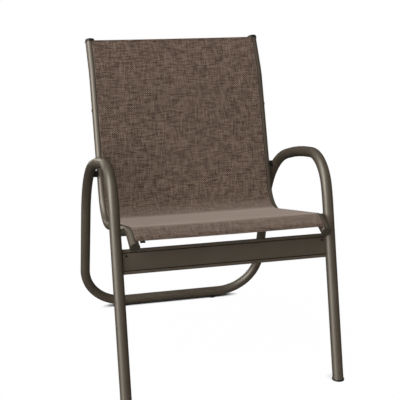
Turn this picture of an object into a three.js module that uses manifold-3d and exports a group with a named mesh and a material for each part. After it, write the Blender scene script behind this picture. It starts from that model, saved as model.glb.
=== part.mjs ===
// A sling patio armchair: two bent tube loops that are legs, arms and floor rail,
// a grooved rail on each side that holds one stretched fabric sling, a front apron,
// two bowed spreader bars behind the sling, and the fittings that join them.
// Millimetres, +Z up, the chair faces -Y and the floor is Z = 0. The right half is at
// +X, and the left half is its mirror image, but for the rear glides and the hem tag.
import * as THREE from 'three';
import { mergeVertices } from 'three/addons/utils/BufferGeometryUtils.js';
import Module from 'manifold-3d';

const wasm = await Module();
wasm.setup();

// Overall size
const WIDTH_OVER_ARMS = 594;
const OVERALL_DEPTH = 711;

// Clearances, and how far a cut runs past what it cuts
const FIT_GAP = 0.3;
const SHANK_GAP = 0.5;
const CUT_OVERRUN = 5;

// Angles are in degrees
const RIGHT_ANGLE = 90;

// Roundness: sides of a round section, and the turn between two rings of a bend
const TUBE_SIDES = 16;
const BORE_SIDES = 8;
const RAIL_SIDES = 16;
const ROD_SIDES = 6;
const FITTING_SIDES = 12;
const BEND_STEP_ANGLE = 10;

// Arm loop tube
const TUBE_DIAMETER = 28.6;
const TUBE_WALL = 1.65;
const LEG_RAKE_ANGLE = 13.4;
const KNEE_HEIGHT = 475.5;
const KNEE_RAKE_ANGLE = 20.1;
const ARM_CORNER_HEIGHT = 574.2;
const ARM_FRONT_RUN = 172;
const ARM_FRONT_FALL = 22.5;
const ARM_REAR_HEIGHT = 481.4;
const ARM_BEHIND_BACK = 48.5;
const KNEE_BEND_RADIUS = 400;
const ARM_CORNER_BEND_RADIUS = 104;
const ARM_TOP_BEND_RADIUS = 900;
const ARM_REAR_BEND_RADIUS = 262;
const FLOOR_BEND_RADIUS = 127;

// Sleeve that joins the two loops in the middle of the floor rail
const SLEEVE_LENGTH = 120;
const SLEEVE_WALL = 2;

// Front feet and rear glides
const FOOT_FLANGE_DIAMETER = 32;
const FOOT_FLANGE_HEIGHT = 4.5;
const FOOT_PLUG_LENGTH = 22;
const GLIDE_DIAMETER = 17;
const GLIDE_HEIGHT = 6.5;
const GLIDE_CHAMFER = 1.4;
const GLIDE_STEM_DIAMETER = 5.6;
const GLIDE_STEM_LENGTH = 9;
const RIGHT_GLIDE_OFFSET = 135;
const LEFT_GLIDE_OFFSET = 160;

// Sling rail: a round extrusion with a keyhole groove and an inner bore
const RAIL_DIAMETER = 25.4;
const RAIL_WALL = 2.4;
const GROOVE_TILT_ANGLE = 17;
const GROOVE_WIDTH = 3.2;
const GROOVE_CAVITY_DIAMETER = 6.6;
const GROOVE_COVER = 1.3;
const GROOVE_WEB = 1.3;
const SPACER_GAP = 7.7;

// Side view of the sling rail
const SEAT_CORNER_Y = 119.85;
const SEAT_CORNER_HEIGHT = 339.9;
const SEAT_PITCH_ANGLE = 12.2;
const SEAT_OVERHANG = 19;
const BACK_LENGTH = 419.6;
const BACK_RAKE_ANGLE = 17.83;
const HEAD_LENGTH = 117.4;
const HEAD_RAKE_ANGLE = 30.2;
const LIP_LENGTH = 54.5;
const LIP_RAKE_ANGLE = 64.2;
const SEAT_CORNER_BEND_RADIUS = 87;
const SEAT_FRONT_BEND_RADIUS = 36;
const HEAD_BEND_RADIUS = 200;

// Sling and the rods that hold its side hems in the grooves
const SLING_THICKNESS = 1.4;
const SLING_TOP_SETBACK = 6;
const SLING_FRONT_SETBACK = 9;
const SPLINE_DIAMETER = 5.4;
const SPLINE_TOP_SETBACK = 4;
const SPLINE_FRONT_SETBACK = 5;

// Blank tag sewn under the sling's front edge, beside the left rail
const TAG_WIDTH = 13;
const TAG_THICKNESS = 1.2;
const TAG_SEWN = 8;
const TAG_SHOWN = 8.5;

// Caps in the rail ends
const CAP_RIM = 0.6;
const TOP_CAP_HEIGHT = 3.2;
const TOP_CAP_PLUG_LENGTH = 14;
const FRONT_CAP_HEIGHT = 2.5;
const FRONT_CAP_PLUG_LENGTH = 8;

// Bolts from the sling rails into the loops
const BOLT_DIAMETER = 6;
const BOLT_HEAD_DIAMETER = 11;
const BOLT_HEAD_HEIGHT = 3.3;
const SPACER_DIAMETER = 19;
const NUT_BODY_DIAMETER = 8.8;
const NUT_BULGE_DIAMETER = 12.4;
const NUT_BULGE_LENGTH = 3;
const NUT_LENGTH = 13;

// Spreader bars
const BAR_DIAMETER = 16;
const BAR_BOW = 22;
const BAR_STUB_LENGTH = 38;
const BAR_SLOPE_LENGTH = 62;
const BAR_BEND_RADIUS = 70;
const BAR_THREAD_DEPTH = 18;
const BAR_SCREW_HEAD_DIAMETER = 8;
const BAR_SCREW_HEAD_HEIGHT = 0.8;
const SEAT_BAR_PLACE = 190;
const BACK_BAR_PLACE = 325.6;

// Front apron, the blocks in its ends and their screws
const APRON_HEIGHT = 62;
const APRON_THICKNESS = 16;
const APRON_WALL = 2;
const APRON_CORNER = 2.5;
const APRON_FACE_FORWARD = 2;
const APRON_BELOW_RAIL = 30.2;
const APRON_BEAD_HEIGHT = 8.6;
const APRON_LINE_WIDTH = 1.8;
const APRON_LINE_DEPTH = 0.9;
const APRON_END_SETBACK = 6;
const BLOCK_LENGTH = 20;
const APRON_SCREW_DIAMETER = 3.5;
const APRON_SCREW_HEAD_DIAMETER = 6.5;
const APRON_SCREW_HEAD_HEIGHT = 1.8;
const APRON_SCREW_LENGTH = 11;
const APRON_SCREW_INSET = 9;
const APRON_SCREW_BELOW_TOP = 16;

// Sizes worked out from the ones above
const tubeRadius = TUBE_DIAMETER / 2;
const tubeBoreRadius = tubeRadius - TUBE_WALL;
const halfTrack = WIDTH_OVER_ARMS / 2 - tubeRadius;
const railRadius = RAIL_DIAMETER / 2;
const railX = halfTrack - tubeRadius - SPACER_GAP - railRadius;
const cavityRadius = GROOVE_CAVITY_DIAMETER / 2;
const cavityReach = railRadius - GROOVE_COVER - cavityRadius;
const railBoreTop = cavityReach - cavityRadius - GROOVE_WEB;
const railBoreBottom = RAIL_WALL - railRadius;
const railBoreRadius = (railBoreTop - railBoreBottom) / 2;
const railBoreCentre = (railBoreTop + railBoreBottom) / 2;
const boltRadius = BOLT_DIAMETER / 2;
const boltHoleRadius = boltRadius + SHANK_GAP;
const footFlangeRadius = FOOT_FLANGE_DIAMETER / 2;

const finishes = {
  frame: new THREE.MeshStandardMaterial({ color: 0x4e4438, roughness: 0.42, metalness: 0.25 }),
  bareMetal: new THREE.MeshStandardMaterial({ color: 0x9a9a98, roughness: 0.38, metalness: 0.9 }),
  blackPlastic: new THREE.MeshStandardMaterial({ color: 0x151413, roughness: 0.5, metalness: 0 }),
  brownPlastic: new THREE.MeshStandardMaterial({ color: 0x3a3328, roughness: 0.5, metalness: 0 }),
  sling: new THREE.MeshStandardMaterial({ color: 0x6e6156, roughness: 0.85, metalness: 0 }),
};

// Side view: a point is (0, y, z), and a rake is the angle in degrees from straight up

function sidePoint(y, z) {
  return new THREE.Vector3(0, y, z);
}

function sideStep(start, rake, length) {
  const angle = THREE.MathUtils.degToRad(rake);
  return sidePoint(start.y + length * Math.sin(angle), start.z + length * Math.cos(angle));
}

// How far y moves on a line of this rake while z rises by a height
function runOver(height, rake) {
  return height * Math.tan(THREE.MathUtils.degToRad(rake));
}

// Where the lines through two points at two rakes meet
function meet(pointA, rakeA, pointB, rakeB) {
  const slopeA = runOver(1, rakeA);
  const slopeB = runOver(1, rakeB);
  const z = (pointB.y - pointA.y + slopeA * pointA.z - slopeB * pointB.z) / (slopeA - slopeB);
  return sidePoint(pointA.y + slopeA * (z - pointA.z), z);
}

// Stations along straight stretches joined by bends. A bend that has too little room
// on its stretches takes a smaller radius.
function bentLine(corners, radii) {
  const legs = corners.slice(1).map((corner, i) => corner.clone().sub(corners[i]));
  const turns = radii.map((_, i) => legs[i].angleTo(legs[i + 1]));
  const wanted = [0, ...radii.map((radius, i) => radius * Math.tan(turns[i] / 2)), 0];
  const room = legs.map((leg, i) => Math.min(1, leg.length() / (wanted[i] + wanted[i + 1])));
  const stations = [corners[0].clone()];
  radii.forEach((_, i) => {
    const setback = wanted[i + 1] * Math.min(room[i], room[i + 1]);
    const incoming = legs[i].clone().normalize();
    const outgoing = legs[i + 1].clone().normalize();
    const start = corners[i + 1].clone().addScaledVector(incoming, -setback);
    const towardCentre = outgoing.clone().addScaledVector(incoming, -outgoing.dot(incoming)).normalize();
    const radius = setback / Math.tan(turns[i] / 2);
    const steps = Math.max(1, Math.ceil(THREE.MathUtils.radToDeg(turns[i]) / BEND_STEP_ANGLE));
    for (let k = 0; k <= steps; k += 1) {
      const angle = turns[i] * k / steps;
      stations.push(start.clone()
        .addScaledVector(incoming, radius * Math.sin(angle))
        .addScaledVector(towardCentre, radius * (1 - Math.cos(angle))));
    }
  });
  stations.push(corners[corners.length - 1].clone());
  return stations.filter((station, i) => i === 0 || station.distanceTo(stations[i - 1]) > FIT_GAP);
}

// A curve whose rings stand at its own stations, square to the way it turns there
class StationCurve extends THREE.Curve {
  constructor(stations) {
    super();
    this.stations = stations;
  }

  getPoint(t, target = new THREE.Vector3()) {
    const last = this.stations.length - 1;
    const index = Math.min(Math.floor(t * last), last - 1);
    return target.lerpVectors(this.stations[index], this.stations[index + 1], t * last - index);
  }

  getTangent(t, target = new THREE.Vector3()) {
    const last = this.stations.length - 1;
    const index = Math.round(t * last);
    target.set(0, 0, 0);
    if (index > 0) target.add(direction(this.stations[index - 1], this.stations[index]));
    if (index < last) target.add(direction(this.stations[index], this.stations[index + 1]));
    return target.normalize();
  }

  getUtoTmapping(u) {
    return u;
  }
}

function direction(from, to) {
  return to.clone().sub(from).normalize();
}

// The part of a line that is left when a length is taken off each end
function trimmed(stations, fromStart, fromEnd) {
  const kept = dropLength(stations, fromStart).reverse();
  return dropLength(kept, fromEnd).reverse();
}

function dropLength(stations, length) {
  let left = length;
  for (let i = 0; i < stations.length - 1; i += 1) {
    const span = stations[i].distanceTo(stations[i + 1]);
    if (span > left) {
      const start = stations[i].clone().lerp(stations[i + 1], left / span);
      return [start, ...stations.slice(i + 1)];
    }
    left -= span;
  }
  return stations;
}

function lengthOf(stations) {
  return stations.slice(1).reduce((sum, station, i) => sum + station.distanceTo(stations[i]), 0);
}

function shifted(stations, x) {
  return stations.map((station) => new THREE.Vector3(x, station.y, station.z));
}

// Where two side-view lines cross, listed from the front of the chair to its back
function crossings(lineA, lineB) {
  const found = [];
  for (let i = 0; i < lineA.length - 1; i += 1) {
    for (let j = 0; j < lineB.length - 1; j += 1) {
      const a = lineA[i + 1].clone().sub(lineA[i]);
      const b = lineB[j + 1].clone().sub(lineB[j]);
      const gap = lineB[j].clone().sub(lineA[i]);
      const area = a.y * b.z - a.z * b.y;
      const alongA = (gap.y * b.z - gap.z * b.y) / area;
      const alongB = (gap.y * a.z - gap.z * a.y) / area;
      if (alongA >= 0 && alongA < 1 && alongB >= 0 && alongB < 1) {
        found.push(lineA[i].clone().addScaledVector(a, alongA));
      }
    }
  }
  return found.sort((p, q) => p.y - q.y);
}

// Solids

function solidOf(geometry) {
  const bare = geometry.clone();
  bare.deleteAttribute('normal');
  bare.deleteAttribute('uv');
  const merged = mergeVertices(bare);
  const index = Array.from(merged.index.array);
  const corners = [];
  for (let i = 0; i < index.length; i += 3) {
    const [a, b, c] = index.slice(i, i + 3);
    if (a !== b && b !== c && c !== a) corners.push(a, b, c);
  }
  return new wasm.Manifold(new wasm.Mesh({
    numProp: 3,
    vertProperties: new Float32Array(merged.attributes.position.array),
    triVerts: new Uint32Array(corners),
  }));
}

function geometryOf(solid) {
  const mesh = solid.getMesh();
  const geometry = new THREE.BufferGeometry();
  geometry.setAttribute('position', new THREE.BufferAttribute(mesh.vertProperties, 3));
  geometry.setIndex(new THREE.BufferAttribute(mesh.triVerts, 1));
  const faceted = geometry.toNonIndexed();
  faceted.computeVertexNormals();
  return faceted;
}

function cutBy(geometry, ...cutters) {
  const solid = cutters.reduce((left, cutter) => left.subtract(solidOf(cutter)), solidOf(geometry));
  return geometryOf(solid);
}

function joined(geometryA, geometryB) {
  return geometryOf(solidOf(geometryA).add(solidOf(geometryB)));
}

// Points of a circle, from one angle to another in radians
function arcPoints(radius, sides, centre = new THREE.Vector2(), from = 0, to = 2 * Math.PI) {
  const whole = to - from >= 2 * Math.PI;
  const steps = Math.max(1, Math.round(sides * (to - from) / (2 * Math.PI)));
  const count = whole ? steps : steps + 1;
  return Array.from({ length: count }, (_, k) => {
    const angle = from + (to - from) * k / steps;
    return new THREE.Vector2(centre.x + radius * Math.cos(angle), centre.y + radius * Math.sin(angle));
  });
}

function shapeOf(points, ...holes) {
  const shape = new THREE.Shape(points);
  holes.forEach((hole) => shape.holes.push(new THREE.Path(hole)));
  return shape;
}

function sweep(shape, stations) {
  const options = { steps: stations.length - 1, extrudePath: new StationCurve(stations) };
  return new THREE.ExtrudeGeometry(shape, options);
}

function roundSweep(radius, sides, stations) {
  return sweep(shapeOf(arcPoints(radius, sides)), stations);
}

// The largest round that fits a bore whose wall has flat sides
function clearOf(boreRadius, sides) {
  return boreRadius * Math.cos(Math.PI / sides) - FIT_GAP;
}

// A round body turned about Z and then laid from a point along a direction
function turned(profile, start, axis, sides = FITTING_SIDES) {
  const points = profile.map(([radius, height]) => new THREE.Vector2(radius, height));
  const geometry = new THREE.LatheGeometry(points, sides);
  const toAxis = new THREE.Quaternion().setFromUnitVectors(new THREE.Vector3(0, 1, 0), axis);
  return geometry.applyQuaternion(toAxis).translate(start.x, start.y, start.z);
}

function pin(radius, start, axis, length, sides = FITTING_SIDES) {
  return turned([[0, 0], [radius, 0], [radius, length], [0, length]], start, axis, sides);
}

function mirrored(geometry) {
  const flipped = (geometry.index ? geometry.toNonIndexed() : geometry.clone()).scale(-1, 1, 1);
  const position = flipped.attributes.position;
  const a = new THREE.Vector3();
  const c = new THREE.Vector3();
  for (let i = 0; i < position.count; i += 3) {
    a.fromBufferAttribute(position, i);
    c.fromBufferAttribute(position, i + 2);
    position.setXYZ(i, c.x, c.y, c.z);
    position.setXYZ(i + 2, a.x, a.y, a.z);
  }
  flipped.computeVertexNormals();
  return flipped;
}

const chair = new THREE.Group();

function add(name, geometry, finish) {
  const mesh = new THREE.Mesh(geometryOf(solidOf(geometry)), finishes[finish]);
  mesh.name = name;
  chair.add(mesh);
}

function addPair(name, rightGeometry, finish) {
  add(`right_${name}`, rightGeometry, finish);
  add(`left_${name}`, mirrored(rightGeometry), finish);
}

const outward = new THREE.Vector3(1, 0, 0);
const inward = new THREE.Vector3(-1, 0, 0);
const upward = new THREE.Vector3(0, 0, 1);

// Side lines: the loop and the sling rail

const legDirection = direction(sidePoint(0, 0), sideStep(sidePoint(0, 0), LEG_RAKE_ANGLE, 1));
const footPoint = sidePoint(footFlangeRadius / legDirection.z - OVERALL_DEPTH / 2, 0);
const floorRail = sidePoint(OVERALL_DEPTH / 2 - tubeRadius, tubeRadius + GLIDE_HEIGHT);

const seatRake = SEAT_PITCH_ANGLE - RIGHT_ANGLE;
const seatCorner = sidePoint(SEAT_CORNER_Y, SEAT_CORNER_HEIGHT);
const seatOverLeg = meet(seatCorner, seatRake, footPoint, LEG_RAKE_ANGLE);
const seatFront = sideStep(seatOverLeg, seatRake, SEAT_OVERHANG);
const backTop = sideStep(seatCorner, BACK_RAKE_ANGLE, BACK_LENGTH);
const railLine = bentLine(
  [
    sideStep(backTop, HEAD_RAKE_ANGLE, HEAD_LENGTH),
    backTop,
    seatCorner,
    seatFront,
    sideStep(seatFront, LIP_RAKE_ANGLE, -LIP_LENGTH),
  ],
  [HEAD_BEND_RADIUS, SEAT_CORNER_BEND_RADIUS, SEAT_FRONT_BEND_RADIUS],
);

const knee = sidePoint(footPoint.y + runOver(KNEE_HEIGHT, LEG_RAKE_ANGLE), KNEE_HEIGHT);
const armCorner = sidePoint(
  knee.y + runOver(ARM_CORNER_HEIGHT - KNEE_HEIGHT, KNEE_RAKE_ANGLE),
  ARM_CORNER_HEIGHT,
);
const armTop = sidePoint(armCorner.y + ARM_FRONT_RUN, armCorner.z - ARM_FRONT_FALL);
const armRear = sidePoint(
  seatCorner.y + runOver(ARM_REAR_HEIGHT - seatCorner.z, BACK_RAKE_ANGLE) + ARM_BEHIND_BACK,
  ARM_REAR_HEIGHT,
);
const loopBends = [KNEE_BEND_RADIUS, ARM_CORNER_BEND_RADIUS, ARM_TOP_BEND_RADIUS, ARM_REAR_BEND_RADIUS];
const loopCorners = [footPoint, knee, armCorner, armTop, armRear, floorRail];
const loopLine = bentLine(
  [...shifted(loopCorners, halfTrack), new THREE.Vector3(FIT_GAP / 2, floorRail.y, floorRail.z)],
  [...loopBends, FLOOR_BEND_RADIUS],
);
const loopSideLine = shifted(bentLine(loopCorners, loopBends), 0);
const boltPoints = {};
[boltPoints.front, boltPoints.rear] = crossings(loopSideLine, railLine);
const railBodyLine = shifted(railLine, railX);
const railCutter = roundSweep(railRadius + FIT_GAP, RAIL_SIDES, railBodyLine);
const loopCutter = roundSweep(tubeRadius + FIT_GAP, TUBE_SIDES, loopLine);

const barPoints = {
  seat: sideStep(seatCorner, seatRake, SEAT_BAR_PLACE),
  back: sideStep(seatCorner, BACK_RAKE_ANGLE, BACK_BAR_PLACE),
};

function atX(point, x) {
  return new THREE.Vector3(x, point.y, point.z);
}

// Arm loops: each half is front leg, arm, rear leg and half of the floor rail

function armLoop(glideOffset) {
  const section = shapeOf(arcPoints(tubeRadius, TUBE_SIDES), arcPoints(tubeBoreRadius, BORE_SIDES));
  const floorCut = new THREE.BoxGeometry(WIDTH_OVER_ARMS, TUBE_DIAMETER * 2, FOOT_FLANGE_HEIGHT * 2)
    .translate(0, footPoint.y, FIT_GAP);
  const nutHoleRadius = NUT_BODY_DIAMETER / 2 + FIT_GAP;
  const nutHoles = Object.values(boltPoints).map((point) => {
    const start = atX(point, halfTrack - tubeRadius - CUT_OVERRUN);
    return pin(nutHoleRadius, start, outward, tubeRadius + CUT_OVERRUN);
  });
  const stemHole = pin(
    GLIDE_STEM_DIAMETER / 2 + FIT_GAP,
    new THREE.Vector3(glideOffset, floorRail.y, 0),
    upward,
    floorRail.z,
  );
  return cutBy(sweep(section, loopLine), floorCut, ...nutHoles, stemHole);
}
add('right_arm_loop_tube', armLoop(RIGHT_GLIDE_OFFSET), 'frame');
add('left_arm_loop_tube', mirrored(armLoop(LEFT_GLIDE_OFFSET)), 'frame');

function floorRailSleeve() {
  const radius = clearOf(tubeBoreRadius, BORE_SIDES);
  const section = shapeOf(
    arcPoints(radius, BORE_SIDES),
    arcPoints(radius - SLEEVE_WALL, BORE_SIDES),
  );
  const end = atX(floorRail, SLEEVE_LENGTH / 2);
  return sweep(section, [end, atX(floorRail, -SLEEVE_LENGTH / 2)]);
}
add('floor_rail_sleeve', floorRailSleeve(), 'bareMetal');

// Front foot: a flange that stands flat on the floor, and a plug in the leg's open end
function frontFoot() {
  const start = atX(footPoint, halfTrack).addScaledVector(legDirection, -footFlangeRadius);
  const length = FOOT_PLUG_LENGTH + footFlangeRadius;
  const flange = pin(footFlangeRadius, start, legDirection, length, TUBE_SIDES);
  const aboveFlange = new THREE.BoxGeometry(WIDTH_OVER_ARMS * 2, FOOT_FLANGE_DIAMETER * 2, OVERALL_DEPTH)
    .translate(0, footPoint.y, FOOT_FLANGE_HEIGHT + OVERALL_DEPTH / 2);
  const belowFloor = new THREE.BoxGeometry(WIDTH_OVER_ARMS * 2, FOOT_FLANGE_DIAMETER * 2, OVERALL_DEPTH)
    .translate(0, footPoint.y, -OVERALL_DEPTH / 2);
  const plugRadius = clearOf(tubeBoreRadius, BORE_SIDES);
  const plug = pin(plugRadius, start, legDirection, length);
  return cutBy(joined(cutBy(flange, aboveFlange), plug), belowFloor);
}
addPair('front_foot', frontFoot(), 'blackPlastic');

function rearGlide(offset) {
  const radius = GLIDE_DIAMETER / 2;
  const stemRadius = GLIDE_STEM_DIAMETER / 2;
  const seat = GLIDE_HEIGHT - FIT_GAP;
  const profile = [
    [0, 0],
    [radius - GLIDE_CHAMFER, 0],
    [radius, GLIDE_CHAMFER],
    [radius, seat],
    [stemRadius, seat],
    [stemRadius, seat + GLIDE_STEM_LENGTH],
    [0, seat + GLIDE_STEM_LENGTH],
  ];
  return turned(profile, new THREE.Vector3(offset, floorRail.y, 0), upward);
}
add('right_rear_glide', rearGlide(RIGHT_GLIDE_OFFSET), 'blackPlastic');
add('left_rear_glide', mirrored(rearGlide(LEFT_GLIDE_OFFSET)), 'blackPlastic');

// Sling rails. In a section, across is towards the chair's middle and out is the side
// that the sling lies on. The sweep turns a section half round, hence the two signs.

function sectionPoint(across, out) {
  return new THREE.Vector2(across, -out);
}

const tilt = THREE.MathUtils.degToRad(GROOVE_TILT_ANGLE);

// A point a distance along the groove from the rail's centre, and aside from its middle
function groovePoint(reach, aside) {
  return sectionPoint(
    reach * Math.sin(tilt) + aside * Math.cos(tilt),
    reach * Math.cos(tilt) - aside * Math.sin(tilt),
  );
}

function grooveArc(radius, reach, sides, fromAngle, toAngle) {
  return arcPoints(radius, sides, new THREE.Vector2(), fromAngle, toAngle).map(({ x, y }) => (
    groovePoint(reach + x, y)
  ));
}

function railSection() {
  const mouth = Math.asin(GROOVE_WIDTH / RAIL_DIAMETER);
  const neck = Math.asin(GROOVE_WIDTH / GROOVE_CAVITY_DIAMETER);
  const outside = grooveArc(railRadius, 0, RAIL_SIDES, mouth, 2 * Math.PI - mouth);
  const cavity = grooveArc(cavityRadius, cavityReach, ROD_SIDES, neck, 2 * Math.PI - neck);
  const bore = arcPoints(railBoreRadius, BORE_SIDES, sectionPoint(0, railBoreCentre));
  return shapeOf([...outside, ...cavity.reverse()], bore);
}

function slingRail() {
  const bolts = Object.values(boltPoints);
  const screws = Object.values(barPoints);
  const holes = [...bolts, ...screws].map((point) => (
    pin(boltHoleRadius, atX(point, railX - RAIL_DIAMETER), outward, RAIL_DIAMETER * 2)
  ));
  return cutBy(sweep(railSection(), railBodyLine), ...holes);
}
addPair('sling_rail', slingRail(), 'frame');

function splineRod() {
  const centre = groovePoint(cavityReach, 0);
  const section = shapeOf(arcPoints(SPLINE_DIAMETER / 2, ROD_SIDES, centre));
  return sweep(section, trimmed(railBodyLine, SPLINE_TOP_SETBACK, SPLINE_FRONT_SETBACK));
}
addPair('spline_rod', splineRod(), 'blackPlastic');

// Sling: a flat sheet over both rails, with an edge down each groove to the spline rod
function slingSection() {
  const half = SLING_THICKNESS / 2;
  const under = railRadius + FIT_GAP;
  const top = under + SLING_THICKNESS;
  const edgeReach = cavityReach + SPLINE_DIAMETER / 2 + FIT_GAP;
  const outerReach = (top - half * Math.sin(tilt)) / Math.cos(tilt);
  const innerReach = (under + half * Math.sin(tilt)) / Math.cos(tilt);
  const edge = [
    groovePoint(outerReach, -half),
    groovePoint(edgeReach, -half),
    groovePoint(edgeReach, half),
    groovePoint(innerReach, half),
  ];
  const right = edge.map(({ x, y }) => new THREE.Vector2(x - railX, y));
  const left = right.map(({ x, y }) => new THREE.Vector2(-x, y));
  return shapeOf([...right, ...left.reverse()]);
}
const slingLine = trimmed(railLine, SLING_TOP_SETBACK, SLING_FRONT_SETBACK);
add('sling_fabric', sweep(slingSection(), slingLine), 'sling');

// The tag lies under the sling from where it is sewn on to where it shows past the edge
function hemTag() {
  const outer = railRadius;
  const inner = outer - TAG_THICKNESS;
  const railSide = railX - railRadius - FIT_GAP;
  const farSide = railSide - TAG_WIDTH;
  const section = shapeOf([
    sectionPoint(railSide, outer),
    sectionPoint(farSide, outer),
    sectionPoint(farSide, inner),
    sectionPoint(railSide, inner),
  ]);
  const start = lengthOf(railLine) - SLING_FRONT_SETBACK - TAG_SEWN;
  return sweep(section, trimmed(railLine, start, SLING_FRONT_SETBACK - TAG_SHOWN));
}
add('hem_tag', hemTag(), 'blackPlastic');

// Domed caps, with a plug that fills the rail's bore
function railCap(end, next, height, plugLength) {
  const axis = direction(next, end);
  const rim = railRadius + CAP_RIM;
  const start = atX(end, railX).addScaledVector(axis, FIT_GAP);
  const shares = [[1, 0], [1, 0.35], [0.86, 0.72], [0.55, 0.93], [0, 1]];
  const dome = [[0, 0], ...shares.map(([across, up]) => [across * rim, up * height])];
  const side = Math.sign(axis.z) || 1;
  const out = new THREE.Vector3(0, -axis.z, axis.y).multiplyScalar(side);
  const plugStart = start.clone().addScaledVector(out, railBoreCentre).addScaledVector(axis, -plugLength);
  const plug = pin(clearOf(railBoreRadius, BORE_SIDES), plugStart, axis, plugLength + height / 2);
  return joined(turned(dome, start, axis), plug);
}
addPair(
  'rail_top_cap',
  railCap(railLine[0], railLine[1], TOP_CAP_HEIGHT, TOP_CAP_PLUG_LENGTH),
  'blackPlastic',
);
addPair(
  'rail_front_cap',
  railCap(railLine.at(-1), railLine.at(-2), FRONT_CAP_HEIGHT, FRONT_CAP_PLUG_LENGTH),
  'brownPlastic',
);

// Bolted joints between a sling rail and its loop: spacer, bolt and rivet nut

function spacer(point) {
  const start = atX(point, railX);
  const barrel = pin(SPACER_DIAMETER / 2, start, outward, halfTrack - railX);
  const hole = pin(boltHoleRadius, atX(point, railX - CUT_OVERRUN), outward, halfTrack);
  return cutBy(barrel, railCutter, loopCutter, hole);
}

// A shank with a domed head; the head bears on a face at the start
function bolt(start, axis, length, radius, headDiameter, headHeight) {
  const headRadius = headDiameter / 2;
  const shares = [[1, 0], [1, 0.3], [0.8, 0.75], [0.45, 1]];
  const head = shares.map(([across, up]) => [across * headRadius, -up * headHeight]).reverse();
  const profile = [[0, -headHeight], ...head, [radius, 0], [radius, length], [0, length]];
  return turned(profile, start, axis);
}

function railBolt(point) {
  const start = atX(point, railX - railRadius - FIT_GAP);
  const length = halfTrack - tubeRadius - start.x + NUT_LENGTH;
  return bolt(start, outward, length, boltRadius, BOLT_HEAD_DIAMETER, BOLT_HEAD_HEIGHT);
}

// How far a flat disc of a radius sinks into the side of a round section
function sunk(radius, roundRadius, sides) {
  return tubeRadius - Math.sqrt((roundRadius * Math.cos(Math.PI / sides)) ** 2 - radius ** 2);
}

function rivetNut(point) {
  const bulgeRadius = NUT_BULGE_DIAMETER / 2;
  const bodyRadius = NUT_BODY_DIAMETER / 2;
  const face = sunk(bodyRadius, tubeRadius, TUBE_SIDES) + FIT_GAP;
  const bulgeStart = sunk(bulgeRadius, tubeBoreRadius, BORE_SIDES) + FIT_GAP;
  const bulgeEnd = bulgeStart + NUT_BULGE_LENGTH;
  const profile = [
    [boltHoleRadius, face],
    [bodyRadius, face],
    [bodyRadius, bulgeStart],
    [bulgeRadius, bulgeStart],
    [bulgeRadius, bulgeEnd],
    [bodyRadius, bulgeEnd],
    [bodyRadius, NUT_LENGTH],
    [boltHoleRadius, NUT_LENGTH],
    [boltHoleRadius, face],
  ];
  return turned(profile, atX(point, halfTrack - tubeRadius), outward);
}

Object.entries(boltPoints).forEach(([place, point]) => {
  addPair(`${place}_spacer`, spacer(point), place === 'front' ? 'brownPlastic' : 'blackPlastic');
  addPair(`${place}_bolt`, railBolt(point), 'bareMetal');
  addPair(`${place}_rivet_nut`, rivetNut(point), 'bareMetal');
});

// Spreader bars: straight stubs at the rails, and a middle bowed away from the sling

function spreaderBar(point, rake) {
  const away = sideStep(sidePoint(0, 0), rake, BAR_BOW);
  const end = railX - railRadius - FIT_GAP;
  const stub = end - BAR_STUB_LENGTH;
  const middle = stub - BAR_SLOPE_LENGTH;
  const bowed = point.clone().add(away);
  const stations = bentLine(
    [
      atX(point, end),
      atX(point, stub),
      atX(bowed, middle),
      atX(bowed, -middle),
      atX(point, -stub),
      atX(point, -end),
    ],
    [BAR_BEND_RADIUS, BAR_BEND_RADIUS, BAR_BEND_RADIUS, BAR_BEND_RADIUS],
  );
  const holeLength = BAR_THREAD_DEPTH + CUT_OVERRUN;
  const holes = [
    pin(boltHoleRadius, atX(point, end - BAR_THREAD_DEPTH), outward, holeLength),
    pin(boltHoleRadius, atX(point, BAR_THREAD_DEPTH - end), inward, holeLength),
  ];
  return cutBy(roundSweep(BAR_DIAMETER / 2, FITTING_SIDES, stations), ...holes);
}
const underSeatRake = seatRake - RIGHT_ANGLE;
const behindBackRake = BACK_RAKE_ANGLE + RIGHT_ANGLE;
add('seat_spreader_bar', spreaderBar(barPoints.seat, underSeatRake), 'frame');
add('back_spreader_bar', spreaderBar(barPoints.back, behindBackRake), 'frame');

function barScrew(point) {
  const start = atX(point, railX + railRadius + FIT_GAP);
  const length = RAIL_DIAMETER + FIT_GAP * 2 + BAR_THREAD_DEPTH - SHANK_GAP * 2;
  return bolt(start, inward, length, boltRadius, BAR_SCREW_HEAD_DIAMETER, BAR_SCREW_HEAD_HEIGHT);
}
Object.entries(barPoints).forEach(([place, point]) => {
  addPair(`${place}_bar_screw`, barScrew(point), 'frame');
});

// Front apron: a hollow extrusion between the front legs, raked as they are.
// In its section, forward is square to its face and up runs along the legs.

const apronTop = boltPoints.front.clone().addScaledVector(legDirection, -railRadius - APRON_BELOW_RAIL);
const apronForward = new THREE.Vector3(0, -legDirection.z, legDirection.y);
const apronHalfLength = halfTrack - APRON_END_SETBACK;

function apronPoint(x, forward, below) {
  return atX(apronTop, x)
    .addScaledVector(apronForward, forward)
    .addScaledVector(legDirection, -below);
}

function apronExtrusion(points, holes, fromX, toX) {
  const frame = new THREE.Matrix4().makeBasis(apronForward, legDirection, inward);
  const start = apronPoint(toX, APRON_FACE_FORWARD, 0);
  const options = { depth: toX - fromX, bevelEnabled: false };
  return new THREE.ExtrudeGeometry(shapeOf(points, ...holes), options)
    .applyMatrix4(frame.setPosition(start));
}

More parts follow.
